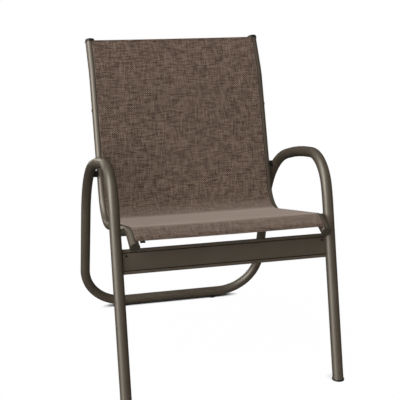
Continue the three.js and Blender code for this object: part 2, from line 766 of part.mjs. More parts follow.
// A rectangle with cut corners, its face at zero and its top edge at zero
function apronOutline(inset, corner) {
  const face = -inset;
  const back = inset - APRON_THICKNESS;
  const top = -inset;
  const bottom = inset - APRON_HEIGHT;
  return [
    [face - corner, top],
    [back + corner, top],
    [back, top - corner],
    [back, bottom + corner],
    [back + corner, bottom],
    [face - corner, bottom],
    [face, bottom + corner],
    [face, top - corner],
  ].map(([forward, up]) => new THREE.Vector2(forward, up));
}

function apronLine(up) {
  const half = APRON_LINE_WIDTH / 2;
  return [
    new THREE.Vector2(0, up - half),
    new THREE.Vector2(-APRON_LINE_DEPTH, up),
    new THREE.Vector2(0, up + half),
  ];
}

function apronScrewStart() {
  const x = halfTrack - tubeRadius - APRON_SCREW_INSET;
  return apronPoint(x, APRON_FACE_FORWARD + FIT_GAP, APRON_SCREW_BELOW_TOP);
}

const apronScrewAxis = apronForward.clone().negate();
const apronScrewHoleRadius = APRON_SCREW_DIAMETER / 2 + SHANK_GAP;

function apronScrewHole() {
  const start = apronScrewStart().addScaledVector(apronForward, CUT_OVERRUN);
  return pin(apronScrewHoleRadius, start, apronScrewAxis, APRON_SCREW_LENGTH + CUT_OVERRUN + FIT_GAP);
}

function frontApron() {
  const outline = apronOutline(0, APRON_CORNER);
  const lines = [...apronLine(APRON_BEAD_HEIGHT - APRON_HEIGHT), ...apronLine(-APRON_BEAD_HEIGHT)];
  outline.splice(-1, 0, ...lines);
  const hollow = apronOutline(APRON_WALL, 0);
  const body = apronExtrusion(outline, [hollow], -apronHalfLength, apronHalfLength);
  const cutters = [loopCutter, mirrored(loopCutter), apronScrewHole(), mirrored(apronScrewHole())];
  return cutBy(body, ...cutters);
}
add('front_apron', frontApron(), 'frame');

function apronEndBlock() {
  const outline = apronOutline(APRON_WALL + FIT_GAP, 0);
  const start = halfTrack - tubeRadius - BLOCK_LENGTH;
  return cutBy(apronExtrusion(outline, [], start, apronHalfLength), loopCutter, apronScrewHole());
}
addPair('apron_end_block', apronEndBlock(), 'bareMetal');

function apronScrew() {
  const radius = APRON_SCREW_DIAMETER / 2;
  const head = [APRON_SCREW_HEAD_DIAMETER, APRON_SCREW_HEAD_HEIGHT];
  return bolt(apronScrewStart(), apronScrewAxis, APRON_SCREW_LENGTH - FIT_GAP, radius, ...head);
}
addPair('apron_screw', apronScrew(), 'blackPlastic');

export default chair;
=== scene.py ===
"""Sling patio chair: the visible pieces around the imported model, in metres, +Z up."""

import math
from contextlib import contextmanager

import bmesh
import bpy
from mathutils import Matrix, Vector


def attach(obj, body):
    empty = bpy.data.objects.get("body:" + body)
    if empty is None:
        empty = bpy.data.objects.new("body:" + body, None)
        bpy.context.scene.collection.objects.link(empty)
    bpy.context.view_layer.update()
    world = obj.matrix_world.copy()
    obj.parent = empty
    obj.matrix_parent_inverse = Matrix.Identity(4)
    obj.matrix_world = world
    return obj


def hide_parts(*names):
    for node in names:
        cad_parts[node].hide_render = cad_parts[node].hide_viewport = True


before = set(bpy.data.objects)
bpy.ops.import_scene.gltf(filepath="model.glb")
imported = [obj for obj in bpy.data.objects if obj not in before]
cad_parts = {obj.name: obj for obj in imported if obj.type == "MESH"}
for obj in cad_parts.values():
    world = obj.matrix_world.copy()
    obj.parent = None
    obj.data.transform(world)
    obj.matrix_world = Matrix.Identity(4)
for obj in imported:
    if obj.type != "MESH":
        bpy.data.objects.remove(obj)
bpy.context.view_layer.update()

# Sizes that the solids have too, in metres and degrees

WIDTH_OVER_ARMS = 0.594
OVERALL_DEPTH = 0.711
GAP = 0.0003

TUBE_RADIUS = 0.0143
LEG_RAKE = 13.4
KNEE_HEIGHT = 0.4755
KNEE_RAKE = 20.1
ARM_CORNER_HEIGHT = 0.5742
ARM_FRONT_RUN = 0.172
ARM_FRONT_FALL = 0.0225
ARM_REAR_HEIGHT = 0.4814
ARM_BEHIND_BACK = 0.0485
LOOP_BENDS = [0.4, 0.104, 0.9, 0.262]
FLOOR_BEND = 0.127

FOOT_RADIUS = 0.016
FOOT_HEIGHT = 0.0045
GLIDE_RADIUS = 0.0085
GLIDE_HEIGHT = 0.0065
GLIDE_STEM_RADIUS = 0.0028
GLIDE_STEM_LENGTH = 0.009
GLIDE_OFFSETS = {"right": 0.135, "left": -0.16}

RAIL_RADIUS = 0.0127
GROOVE_TILT = math.radians(17)
GROOVE_WIDTH = 0.0032
CAVITY_RADIUS = 0.0033
GROOVE_COVER = 0.0013
SPACER_GAP = 0.0077

SEAT_CORNER = (0.11985, 0.3399)
SEAT_PITCH = 12.2
SEAT_OVERHANG = 0.019
BACK_LENGTH = 0.4196
BACK_RAKE = 17.83
HEAD_LENGTH = 0.1174
HEAD_RAKE = 30.2
LIP_LENGTH = 0.0545
LIP_RAKE = 64.2
RAIL_BENDS = [0.2, 0.087, 0.036]

CLOTH_TOP_SETBACK = 0.006
CLOTH_FRONT_SETBACK = 0.009
SPLINE_RADIUS = 0.0027
SPLINE_TOP_SETBACK = 0.004
SPLINE_FRONT_SETBACK = 0.005

TAG_WIDTH = 0.013
TAG_SEWN = 0.008
TAG_SHOWN = 0.0085

CAP_RIM = 0.0006
TOP_CAP_HEIGHT = 0.0032
FRONT_CAP_HEIGHT = 0.0025

SPACER_RADIUS = 0.0095
BOLT_RADIUS = 0.003
BOLT_HEAD = (0.0055, 0.0033)
BAR_SCREW_HEAD = (0.004, 0.0008)
APRON_SCREW_RADIUS = 0.00175
APRON_SCREW_HEAD = (0.00325, 0.0018)

BAR_RADIUS = 0.008
BAR_BOW = 0.022
BAR_STUB = 0.038
BAR_SLOPE = 0.062
BAR_BEND = 0.07
SEAT_BAR_PLACE = 0.19
BACK_BAR_PLACE = 0.3256

APRON_HEIGHT = 0.062
APRON_THICKNESS = 0.016
APRON_CORNER = 0.0025
APRON_FORWARD = 0.002
APRON_BELOW_RAIL = 0.0302
APRON_BEAD = 0.0086
APRON_LINE_WIDTH = 0.0018
APRON_LINE_DEPTH = 0.0009
APRON_END_SETBACK = 0.006
APRON_SCREW_INSET = 0.009
APRON_SCREW_BELOW_TOP = 0.016

HALF_TRACK = WIDTH_OVER_ARMS / 2 - TUBE_RADIUS
RAIL_X = HALF_TRACK - TUBE_RADIUS - SPACER_GAP - RAIL_RADIUS
CAVITY_REACH = RAIL_RADIUS - GROOVE_COVER - CAVITY_RADIUS


# Sizes of the finer detail that only this scene has

BEND_STEP = 3
FOOT_ZONE = 0.1
FOOT_ROUND = 0.0012
FOOT_LOWER_SHARES = [(1, 0), (1 / 4, 1 / 3), (0, 1)]
FOOT_UPPER_SHARES = [(0, 1), (1 / 6, 1 / 2), (7 / 12, 1 / 6), (7 / 6, 0), (5 / 3, 0)]
GLIDE_DOME = [(0.0055, 0), (0.0068, 0.0002), (0.0079, 0.0007), (GLIDE_RADIUS, 0.0015)]
GLIDE_SIDE_TOP = 0.0032
GLIDE_TOP_RADIUS = 0.0082
LIP_ROUND = 0.0004

CLOTH_THICKNESS = 0.0012
CLOTH_LEVEL = 0.0134
CLOTH_FOLD = 0.0016
CLOTH_SAG = 0.0015
CLOTH_ASIDE = 0.00095
CLOTH_HALF_STRIPS = 24
CLOTH_STEP = 0.02
MOUTH_DEPTH = 0.002
GROOVE_FOLD = 0.004
HEM_DEPTH = 0.02
HEM_THICKNESS = 0.0011
HEM_INSET = 0.0065
SEAM_FROM_EDGE = 0.004
SEAM_FROM_FOLD = 0.003
STITCH_LENGTH = 0.0034
STITCH_PITCH = 0.0048
STITCH_WIDTH = 0.0007
WARP_WIDTH = 0.0017
WEFT_WIDTH = 0.0014
SLUB_LENGTH = 0.027
TAG_LAYER = 0.0006
TAG_STEP = 0.001

TOP_CAP_RIM = 0.0015
TOP_CAP_SKIRT = 0.0055
CAP_FOOT_INSET = 0.0004
CAP_EDGE = 0.0003
CAP_TIP = 0.0005
CAP_SIDE_SHARE = 0.35

SPACER_CHAMFER = 0.0006
SPACER_END_SHARE = 0.93
BOLT_LENGTH = 0.043
BAR_SCREW_LENGTH = 0.04
APRON_SCREW_LENGTH = 0.0107
SHANK_CHAMFER = 0.0006
SHANK_TIP_SHARE = 0.8
# Across and up, as shares of a screw head's radius and height
HEAD_SHARES = [(0.97, 0), (1, 0.08), (1, 0.3), (0.95, 0.55), (0.82, 0.8), (0.68, 0.93), (0.56, 1)]
CROSS_ARM_SHARE = 0.24

# Across and deep, as shares of half a groove's width and of its depth
APRON_LINE_SHARES = [(-1.3, 0), (-1.0, 0.12), (-0.6, 0.75), (0, 1), (0.6, 0.75), (1.0, 0.12), (1.3, 0)]
APRON_OVERLAP = 0.0002
# Painted shade along the apron's grooves: its dark core and edge, and how far in from the face it reaches
PAINTED_GROOVE_SHADE_CORE = 0.0006
PAINTED_GROOVE_SHADE_EDGE = 0.0015
PAINTED_GROOVE_SHADE_FACE_DEPTH = 0.004
PAINTED_GROOVE_SHADE_FACE_FADE = 0.006


# Side view: a rake is the angle in degrees from straight up


def side_point(y, z):
    return Vector((0, y, z))


def side_step(start, rake, length):
    angle = math.radians(rake)
    return side_point(start.y + length * math.sin(angle), start.z + length * math.cos(angle))


def run_over(height, rake):
    return height * math.tan(math.radians(rake))


def meet(point_a, rake_a, point_b, rake_b):
    slope_a, slope_b = run_over(1, rake_a), run_over(1, rake_b)
    z = (point_b.y - point_a.y + slope_a * point_a.z - slope_b * point_b.z) / (slope_a - slope_b)
    return side_point(point_a.y + slope_a * (z - point_a.z), z)


def bent_line(corners, radii, step=BEND_STEP):
    """Points along straight stretches joined by bends, one for each step in degrees."""
    legs = [b - a for a, b in zip(corners, corners[1:])]
    turns = [a.angle(b) for a, b in zip(legs, legs[1:])]
    wanted = [0, *[r * math.tan(t / 2) for r, t in zip(radii, turns)], 0]
    room = [min(1, leg.length / (wanted[i] + wanted[i + 1])) for i, leg in enumerate(legs)]
    points = [corners[0].copy()]
    for i, turn in enumerate(turns):
        setback = wanted[i + 1] * min(room[i], room[i + 1])
        incoming, outgoing = legs[i].normalized(), legs[i + 1].normalized()
        start = corners[i + 1] - incoming * setback
        inward = (outgoing - incoming * outgoing.dot(incoming)).normalized()
        radius = setback / math.tan(turn / 2)
        for angle in spread(0, turn, max(1, math.ceil(math.degrees(turn) / step))):
            points.append(start + incoming * radius * math.sin(angle)
                          + inward * radius * (1 - math.cos(angle)))
    points.append(corners[-1].copy())
    return [p for i, p in enumerate(points) if i == 0 or (p - points[i - 1]).length > 1e-5]


def dropped(line, length):
    """The line that is left past a length from its start."""
    for i, (a, b) in enumerate(zip(line, line[1:])):
        span = (b - a).length
        if span > length:
            return [a.lerp(b, length / span), *line[i + 1:]]
        length -= span
    return line


def trimmed(line, from_start, from_end):
    return dropped(dropped(line, from_start)[::-1], from_end)[::-1]


def finer(line, most):
    """The same line with no stretch longer than a length."""
    points = [line[0]]
    for a, b in zip(line, line[1:]):
        steps = max(1, math.ceil((b - a).length / most))
        points += [a.lerp(b, k / steps) for k in range(1, steps + 1)]
    return points


def running(points):
    """The length of the line up to each of its points."""
    sums = [0.0]
    for a, b in zip(points, points[1:]):
        sums.append(sums[-1] + (b - a).length)
    return sums


def at_x(point, x):
    return Vector((x, point.y, point.z))


def shifted(line, x):
    return [at_x(p, x) for p in line]


def tangents(line):
    steps = [(b - a).normalized() for a, b in zip(line, line[1:])]
    return [(a + b).normalized() for a, b in zip([steps[0], *steps], [*steps, steps[-1]])]


def tangent_near(line, point):
    nearest = min(range(len(line) - 1), key=lambda i: ((line[i] + line[i + 1]) / 2 - point).length)
    return (line[nearest + 1] - line[nearest]).normalized()


def outward_of(tangent):
    """The side of the rail's line that the cloth lies on."""
    return Vector((0, tangent.z, -tangent.y))


def crossings(line_a, line_b):
    found = []
    for p, q in zip(line_a, line_a[1:]):
        for r, s in zip(line_b, line_b[1:]):
            a, b, gap = q - p, s - r, r - p
            area = a.y * b.z - a.z * b.y
            along_a = (gap.y * b.z - gap.z * b.y) / area
            along_b = (gap.y * a.z - gap.z * a.y) / area
            if 0 <= along_a < 1 and 0 <= along_b < 1:
                found.append(p + a * along_a)
    return sorted(found, key=lambda point: point.y)


def spread(start, end, steps):
    """Numbers from start to end in even steps."""
    return [start + (end - start) * k / steps for k in range(steps + 1)]


def around(sides):
    """Angles once round."""
    return spread(0, 2 * math.pi, sides)[:-1]


def arc(radius, sides, start, end, centre=(0, 0)):
    """Points on a part of a circle that would have so many sides."""
    steps = max(1, round(sides * (end - start) / (2 * math.pi)))
    return [(centre[0] + radius * math.cos(a), centre[1] + radius * math.sin(a))
            for a in spread(start, end, steps)]


leg_direction = side_step(side_point(0, 0), LEG_RAKE, 1)
foot_point = side_point(FOOT_RADIUS / leg_direction.z - OVERALL_DEPTH / 2, 0)
floor_rail = side_point(OVERALL_DEPTH / 2 - TUBE_RADIUS, TUBE_RADIUS + GLIDE_HEIGHT)

seat_rake = SEAT_PITCH - 90
seat_corner = side_point(*SEAT_CORNER)
seat_over_leg = meet(seat_corner, seat_rake, foot_point, LEG_RAKE)
seat_front = side_step(seat_over_leg, seat_rake, SEAT_OVERHANG)
back_top = side_step(seat_corner, BACK_RAKE, BACK_LENGTH)
rail_line = bent_line(
    [
        side_step(back_top, HEAD_RAKE, HEAD_LENGTH),
        back_top,
        seat_corner,
        seat_front,
        side_step(seat_front, LIP_RAKE, -LIP_LENGTH),
    ],
    RAIL_BENDS,
)

knee = side_point(foot_point.y + run_over(KNEE_HEIGHT, LEG_RAKE), KNEE_HEIGHT)
arm_corner = side_point(knee.y + run_over(ARM_CORNER_HEIGHT - KNEE_HEIGHT, KNEE_RAKE), ARM_CORNER_HEIGHT)
arm_top = side_point(arm_corner.y + ARM_FRONT_RUN, arm_corner.z - ARM_FRONT_FALL)
arm_rear = side_point(
    seat_corner.y + run_over(ARM_REAR_HEIGHT - seat_corner.z, BACK_RAKE) + ARM_BEHIND_BACK,
    ARM_REAR_HEIGHT,
)
loop_corners = [foot_point, knee, arm_corner, arm_top, arm_rear, floor_rail]
loop_line = bent_line(
    [*shifted(loop_corners, HALF_TRACK), Vector((GAP / 2, floor_rail.y, floor_rail.z))],
    [*LOOP_BENDS, FLOOR_BEND],
)
side_loop = bent_line(loop_corners, LOOP_BENDS)
bolt_front, bolt_rear = crossings(side_loop, rail_line)
seat_bar = side_step(seat_corner, seat_rake, SEAT_BAR_PLACE)
back_bar = side_step(seat_corner, BACK_RAKE, BACK_BAR_PLACE)

cloth_line = trimmed(rail_line, CLOTH_TOP_SETBACK, CLOTH_FRONT_SETBACK)
cloth_length = running(cloth_line)[-1]


# Node trees


class Sheet:
    """A node tree that is filled in step by step."""

    def __init__(self, tree):
        self.tree = tree

    def feed(self, sockets, values):
        """Gives each socket, by its name or number, a link or a plain value."""
        for name, value in values.items():
            if isinstance(value, bpy.types.NodeSocket):
                self.tree.links.new(value, sockets[name])
            else:
                sockets[name].default_value = value

    def add(self, kind, inputs=None, **settings):
        node = self.tree.nodes.new(kind)
        for name, value in settings.items():
            setattr(node, name, value)
        self.feed(node.inputs, inputs or {})
        return node

    def group(self, tree, inputs):
        return self.add("ShaderNodeGroup", inputs, node_tree=tree).outputs

    def sum_of(self, operation, a, b=0.0, c=0.0):
        return self.add("ShaderNodeMath", {0: a, 1: b, 2: c}, operation=operation).outputs[0]

    def times(self, a, b):
        return self.sum_of("MULTIPLY", a, b)

    def ranged(self, value, low, high, to_low=0.0, to_high=1.0):
        inputs = {0: value, 1: low, 2: high, 3: to_low, 4: to_high}
        return self.add("ShaderNodeMapRange", inputs).outputs[0]

    def colours(self, share, a, b, blend="MIX"):
        inputs = {0: share, 6: a, 7: b}
        return self.add("ShaderNodeMix", inputs, data_type="RGBA", blend_type=blend).outputs[2]

    def shaded(self, colour, share):
        """A colour times a share."""
        grey = self.add("ShaderNodeCombineColor", {0: share, 1: share, 2: share}).outputs[0]
        return self.colours(1.0, colour, grey, "MULTIPLY")


def emptied(owner):
    """The sheet of a material or a world, with nothing on it yet."""
    owner.use_nodes = True
    owner.node_tree.nodes.clear()
    return Sheet(owner.node_tree)


def new_group(name, kind, inputs, outputs):
    tree = bpy.data.node_groups.new(name, kind)
    for in_out, sockets in (("INPUT", inputs), ("OUTPUT", outputs)):
        for title, socket_type, *value in sockets:
            item = tree.interface.new_socket(title, in_out=in_out, socket_type="NodeSocket" + socket_type)
            if value:
                item.default_value = value[0]
    sheet = Sheet(tree)
    return sheet, sheet.add("NodeGroupInput").outputs, sheet.add("NodeGroupOutput").inputs


# Shader groups


def make_coat_grain():
    """Fine orange peel of a sprayed or moulded skin, with slow changes of shade."""
    sheet, given, put_out = new_group(
        "coat_grain",
        "ShaderNodeTree",
        [("Place", "Vector"), ("Grain Size", "Float", 0.0012), ("Cloud Size", "Float", 0.06)],
        [("Grain", "Float"), ("Cloud", "Float"), ("Speck", "Float")],
    )

    def texture(kind, density, size, **detail):
        scale = sheet.sum_of("DIVIDE", density, given[size])
        return sheet.add(kind, {"Vector": given["Place"], "Scale": scale, **detail}).outputs

    grain = texture("ShaderNodeTexNoise", 1.0, "Grain Size", Detail=2.0)[0]
    cloud = texture("ShaderNodeTexNoise", 1.0, "Cloud Size", Detail=3.0)[0]
    speck = texture("ShaderNodeTexVoronoi", 0.6, "Grain Size")["Distance"]
    sheet.feed(put_out, {
        "Grain": grain,
        "Cloud": sheet.ranged(cloud, 0.3, 0.7),
        "Speck": sheet.ranged(speck, 0.05, 0.2, 1.0, 0.0),
    })
    return sheet.tree


def make_floor_scuff():
    """More rubbing near the floor, broken up by noise."""
    sheet, given, put_out = new_group(
        "floor_scuff",
        "ShaderNodeTree",
        [("Place", "Vector"), ("Height", "Float", 0.06)],
        [("Scuff", "Float")],
    )
    height = sheet.add("ShaderNodeSeparateXYZ", {0: given["Place"]}).outputs["Z"]
    near = sheet.sum_of("SUBTRACT", 1.0, sheet.sum_of("DIVIDE", height, given["Height"]))
    streak = sheet.add("ShaderNodeTexNoise", {"Vector": given["Place"], "Scale": 260.0, "Detail": 4.0})
    broken = sheet.ranged(streak.outputs[0], 0.52, 0.66)
    scuff = sheet.add("ShaderNodeClamp", {0: sheet.times(near, broken)}).outputs[0]
    sheet.feed(put_out, {"Scuff": scuff})
    return sheet.tree


def make_thread_run():
    """One set of yarns side by side, each with its own slow run of dark and light."""
    sheet, given, put_out = new_group(
        "thread_run",
        "ShaderNodeTree",
        [("Along", "Float"), ("Aside", "Float"), ("Thread Width", "Float", WARP_WIDTH),
         ("Slub Length", "Float", SLUB_LENGTH), ("Start", "Float", 0.0)],
        [("Tone", "Float"), ("Round", "Float"), ("Pair", "Float"), ("Arch", "Float")],
    )
    place = sheet.sum_of("DIVIDE", given["Aside"], given["Thread Width"])
    number = sheet.sum_of("FLOOR", place)
    shift = sheet.add("ShaderNodeTexWhiteNoise", {"W": sheet.sum_of("ADD", number, given["Start"])},
                      noise_dimensions="1D").outputs["Value"]
    along = sheet.sum_of("DIVIDE", given["Along"], given["Slub Length"])
    own_spot = (sheet.sum_of("MULTIPLY_ADD", shift, 97.0, along), sheet.times(number, 3.7))
    shared_spot = (sheet.sum_of("ADD", sheet.times(along, 0.7), given["Start"]), sheet.times(place, 0.22))
    tones = []
    for x, y in (own_spot, shared_spot):
        spot = sheet.add("ShaderNodeCombineXYZ", {"X": x, "Y": y}).outputs[0]
        noise = sheet.add("ShaderNodeTexNoise", {"Vector": spot, "Scale": 1.0, "Detail": 1.0},
                          noise_dimensions="2D")
        tones.append(noise.outputs[0])
    own, shared = tones
    pair = sheet.times(place, 0.5)

    def hump(value):
        """0 at each whole number and 1 halfway between."""
        return sheet.sum_of("SINE", sheet.times(sheet.sum_of("FRACT", value), math.pi))

    sheet.feed(put_out, {
        "Tone": sheet.sum_of("MULTIPLY_ADD", own, 0.8, sheet.times(shared, 0.2)),
        "Round": hump(place),
        "Pair": sheet.sum_of("FLOOR", pair),
        "Arch": hump(pair),
    })
    return sheet.tree


def make_slub_weave(thread_run):
    """Basket weave, two yarns over and two under, of slub yarns in both directions."""
    sheet, given, put_out = new_group(
        "slub_weave",
        "ShaderNodeTree",
        [("Cloth", "Vector"), ("Warp Width", "Float", WARP_WIDTH), ("Weft Width", "Float", WEFT_WIDTH),
         ("Slub Length", "Float", SLUB_LENGTH)],
        [("Tone", "Float"), ("Relief", "Float")],
    )
    spot = sheet.add("ShaderNodeSeparateXYZ", {0: given["Cloth"]}).outputs
    weft, warp = (
        sheet.group(thread_run, {
            "Along": spot[along],
            "Aside": spot[aside],
            "Thread Width": given[width],
            "Slub Length": given["Slub Length"],
            "Start": start,
        })
        for along, aside, width, start in (("X", "Y", "Weft Width", 0.0), ("Y", "X", "Warp Width", 500.0))
    )
    over = sheet.sum_of("PINGPONG", sheet.sum_of("ADD", weft["Pair"], warp["Pair"]), 1.0)
    tones, reliefs = [], []
    for top, under, lift in ((weft, warp, 0.08), (warp, weft, -0.08)):
        beneath = sheet.sum_of("MULTIPLY_ADD", under["Tone"], 0.3, lift)
        tones.append(sheet.sum_of("MULTIPLY_ADD", top["Tone"], 0.7, beneath))
        arch = sheet.sum_of("MULTIPLY_ADD", under["Arch"], 0.45, 0.55)
        reliefs.append(sheet.times(top["Round"], arch))
    for title, (weft_on_top, warp_on_top) in (("Tone", tones), ("Relief", reliefs)):
        picked = sheet.add("ShaderNodeMix", {0: over, 2: weft_on_top, 3: warp_on_top})
        sheet.feed(put_out, {title: picked.outputs[0]})
    return sheet.tree


coat_grain = make_coat_grain()
floor_scuff = make_floor_scuff()
slub_weave = make_slub_weave(make_thread_run())


# Colours, from dark to light where there are two

BRONZE = ((0.047, 0.037, 0.026, 1), (0.053, 0.041, 0.029, 1))
BRONZE_FLECK = (0.12, 0.1, 0.08, 1)
BRONZE_RUBBED = (0.2, 0.17, 0.14, 1)
BLACK_PLASTIC = ((0.0045, 0.0044, 0.0042, 1), (0.009, 0.0087, 0.0084, 1))
BROWN_PLASTIC = ((0.030, 0.026, 0.019, 1), (0.042, 0.036, 0.026, 1))
PLASTIC_RUBBED = (0.05, 0.048, 0.045, 1)
ALUMINIUM = ((0.5, 0.5, 0.5, 1), (0.68, 0.68, 0.67, 1))
STEEL = ((0.42, 0.42, 0.43, 1), (0.6, 0.6, 0.6, 1))
THREAD = ((0.045, 0.035, 0.028, 1), (0.085, 0.068, 0.054, 1))
YARN_DARK = (0.035, 0.0235, 0.0173, 1)
YARN_MIDDLE = (0.086, 0.059, 0.0448, 1)
YARN_LIGHT = (0.2, 0.147, 0.115, 1)
# Painted sheen: the pale colour the cloth takes where it is seen at a low angle
CLOTH_PAINTED_SHEEN = (0.33, 0.268, 0.226, 1)
FLOOR_SHADE = (0.012, 0.011, 0.01, 1)
WHITE = (1, 1, 1, 1)
WARM_LIGHT = (1.0, 0.93, 0.8)


# Materials


def new_material(name, **constants):
    """A material with its shader, whose constant sockets are set by name."""
    material = bpy.data.materials.new(name)
    sheet = emptied(material)
    values = {title.replace("_", " "): value for title, value in constants.items()}
    shader = sheet.add("ShaderNodeBsdfPrincipled", values)
    sheet.add("ShaderNodeOutputMaterial", {"Surface": shader.outputs[0]})
    return material, sheet, shader.inputs


def grained(sheet, wanted, grain_size, cloud_size, relief):
    """Puts the coat's grain on the shader's normal, and gives the place and the group's values."""
    place = sheet.add("ShaderNodeTexCoord").outputs["Object"]
    sizes = {"Place": place, "Grain Size": grain_size, "Cloud Size": cloud_size}
    grain = sheet.group(coat_grain, sizes)
    bump = sheet.add("ShaderNodeBump", {"Strength": 1.0, "Distance": relief, "Height": grain["Grain"]})
    sheet.feed(wanted, {"Normal": bump.outputs[0]})
    return place, grain


def rubbed(sheet, place, skin, bare, most, height):
    """A skin's colour, worn towards another near the floor."""
    scuff = sheet.group(floor_scuff, {"Place": place, "Height": height})[0]
    return sheet.colours(sheet.times(scuff, most), skin, bare)


def painted_groove_shade(sheet, place, painted_shade_grooves):
    """1 on the open face and low along each groove, to paint the shade that falls in the grooves.

    Its grooves are given as the way out, the face's place that way, the way down and each groove's place
    down it.
    """
    outward, face, down, grooves = painted_shade_grooves
    forward, below = (
        sheet.add("ShaderNodeVectorMath", {0: place, 1: axis}, operation="DOT_PRODUCT").outputs["Value"]
        for axis in (outward, down)
    )
    nearest = 1.0
    for groove in grooves:
        off = sheet.sum_of("ABSOLUTE", sheet.sum_of("SUBTRACT", below, groove))
        nearest = sheet.sum_of("MINIMUM", nearest, off)
    dark = sheet.ranged(nearest, PAINTED_GROOVE_SHADE_CORE, PAINTED_GROOVE_SHADE_EDGE, 0.88, 0.0)
    on_face = sheet.ranged(forward, face - PAINTED_GROOVE_SHADE_FACE_FADE, face - PAINTED_GROOVE_SHADE_FACE_DEPTH)
    return sheet.sum_of("SUBTRACT", 1.0, sheet.times(dark, on_face))


def make_bronze_coat(name, painted_shade_grooves=None):
    """Sprayed bronze with a thin gloss, less of it where the surface turns away. Grooves, where given, get
    painted shade in colour and gloss.
    """
    material, sheet, wanted = new_material(name, Specular_IOR_Level=0.0, Coat_Roughness=0.52)
    place, grain = grained(sheet, wanted, grain_size=0.0011, cloud_size=0.05, relief=0.00005)
    clean = sheet.colours(grain["Cloud"], *BRONZE)
    flecked = sheet.colours(sheet.times(grain["Speck"], 0.25), clean, BRONZE_FLECK)
    colour = rubbed(sheet, place, flecked, BRONZE_RUBBED, most=0.25, height=0.06)
    facing = sheet.add("ShaderNodeLayerWeight", {"Blend": 0.5}).outputs["Facing"]
    gloss = sheet.ranged(facing, 0.5, 0.95, 0.12, 0.04)
    # Painted shade along the given grooves darkens the colour and the gloss
    if painted_shade_grooves:
        share = painted_groove_shade(sheet, place, painted_shade_grooves)
        colour = sheet.shaded(colour, share)
        gloss = sheet.times(gloss, share)
    roughness = sheet.ranged(grain["Cloud"], 0.0, 1.0, 0.49, 0.55)
    sheet.feed(wanted, {"Base Color": colour, "Roughness": roughness, "Coat Weight": gloss})
    return material


def make_plastic(name, skin):
    """Moulded plastic, dull and a little worn at the very bottom."""
    material, sheet, wanted = new_material(name, Specular_IOR_Level=0.02)
    place, grain = grained(sheet, wanted, grain_size=0.0007, cloud_size=0.02, relief=0.00006)
    clean = sheet.colours(grain["Cloud"], *skin)
    colour = rubbed(sheet, place, clean, PLASTIC_RUBBED, most=0.6, height=0.006)
    roughness = sheet.ranged(grain["Cloud"], 0.0, 1.0, 0.45, 0.55)
    sheet.feed(wanted, {"Base Color": colour, "Roughness": roughness})
    return material


def make_bare_metal(name, metal, stretch):
    """Drawn or plated metal. A stretch below 1 draws its fine pattern out into lines."""
    material, sheet, wanted = new_material(name, Metallic=1.0)
    place, _ = grained(sheet, wanted, grain_size=0.0008, cloud_size=0.03, relief=0.00002)
    stretched = sheet.add("ShaderNodeMapping", {"Vector": place, "Scale": stretch}).outputs[0]
    lines = sheet.add("ShaderNodeTexNoise", {"Vector": stretched, "Scale": 900.0, "Detail": 2.0})
    share = sheet.ranged(lines.outputs[0], 0.35, 0.65)
    roughness = sheet.ranged(share, 0.0, 1.0, 0.3, 0.42)
    sheet.feed(wanted, {"Base Color": sheet.colours(share, *metal), "Roughness": roughness})
    return material


def make_sling_cloth():
    """Woven yarns, with painted shade in the gaps between them. Seen at a low angle the cloth's colour
    turns pale, a painted sheen, but not close to its top edge.
    """
    material, sheet, wanted = new_material("sling_cloth", Specular_IOR_Level=0.0, Roughness=0.8)
    cloth = sheet.add("ShaderNodeUVMap", uv_map="cloth").outputs[0]
    sizes = {"Cloth": cloth, "Warp Width": WARP_WIDTH, "Weft Width": WEFT_WIDTH, "Slub Length": SLUB_LENGTH}
    weave = sheet.group(slub_weave, sizes)
    dark = sheet.colours(sheet.ranged(weave["Tone"], 0.3, 0.5), YARN_DARK, YARN_MIDDLE)
    yarn = sheet.colours(sheet.ranged(weave["Tone"], 0.5, 0.66), dark, YARN_LIGHT)
    # Painted shade in the gaps between yarns, darker where the weave's relief is low
    yarn_with_painted_gap_shade = sheet.shaded(yarn, sheet.ranged(weave["Relief"], 0.0, 0.5, 0.5, 1.0))
    # Painted sheen: the colour turns pale where the cloth is seen at a low angle, faded out near its top
    # edge
    facing = sheet.add("ShaderNodeLayerWeight", {"Blend": 0.5}).outputs["Facing"]
    painted_sheen = sheet.sum_of("ADD", sheet.ranged(facing, 0.15, 0.5, 0.0, 0.22),
                        sheet.ranged(facing, 0.55, 0.82, 0.0, 0.76))
    from_top = sheet.add("ShaderNodeSeparateXYZ", {0: cloth}).outputs["Y"]
    painted_sheen = sheet.times(painted_sheen, sheet.ranged(from_top, 0.012, 0.03))
    bump = sheet.add("ShaderNodeBump", {"Strength": 0.5, "Distance": 0.0003, "Height": weave["Relief"]})
    sheet.feed(wanted, {"Base Color": sheet.colours(painted_sheen, yarn_with_painted_gap_shade, CLOTH_PAINTED_SHEEN), "Normal": bump.outputs[0]})
    return material


def make_thread():
    material, sheet, wanted = new_material("sewing_thread", Specular_IOR_Level=0.0, Roughness=0.8)
    _, grain = grained(sheet, wanted, grain_size=0.0004, cloud_size=0.01, relief=0.0001)
    sheet.feed(wanted, {"Base Color": sheet.colours(grain["Grain"], *THREAD)})
    return material


bronze_coat = make_bronze_coat("bronze_coat")
black_plastic = make_plastic("black_plastic", BLACK_PLASTIC)
brown_plastic = make_plastic("brown_plastic", BROWN_PLASTIC)
aluminium = make_bare_metal("bare_aluminium", ALUMINIUM, stretch=(0.05, 1, 1))
steel = make_bare_metal("zinc_steel", STEEL, stretch=(1, 1, 1))
sling_cloth = make_sling_cloth()
thread = make_thread()


# Meshes


def in_scene(name, data):
    holder = bpy.data.objects.new(name, data)
    bpy.context.scene.collection.objects.link(holder)
    return holder


def piece_of(name, mesh, material, smooth_below=35):
    if not mesh.materials:
        mesh.materials.append(material)
    mesh.shade_smooth()
    mesh.set_sharp_from_angle(angle=math.radians(smooth_below))
    return in_scene(name, mesh)


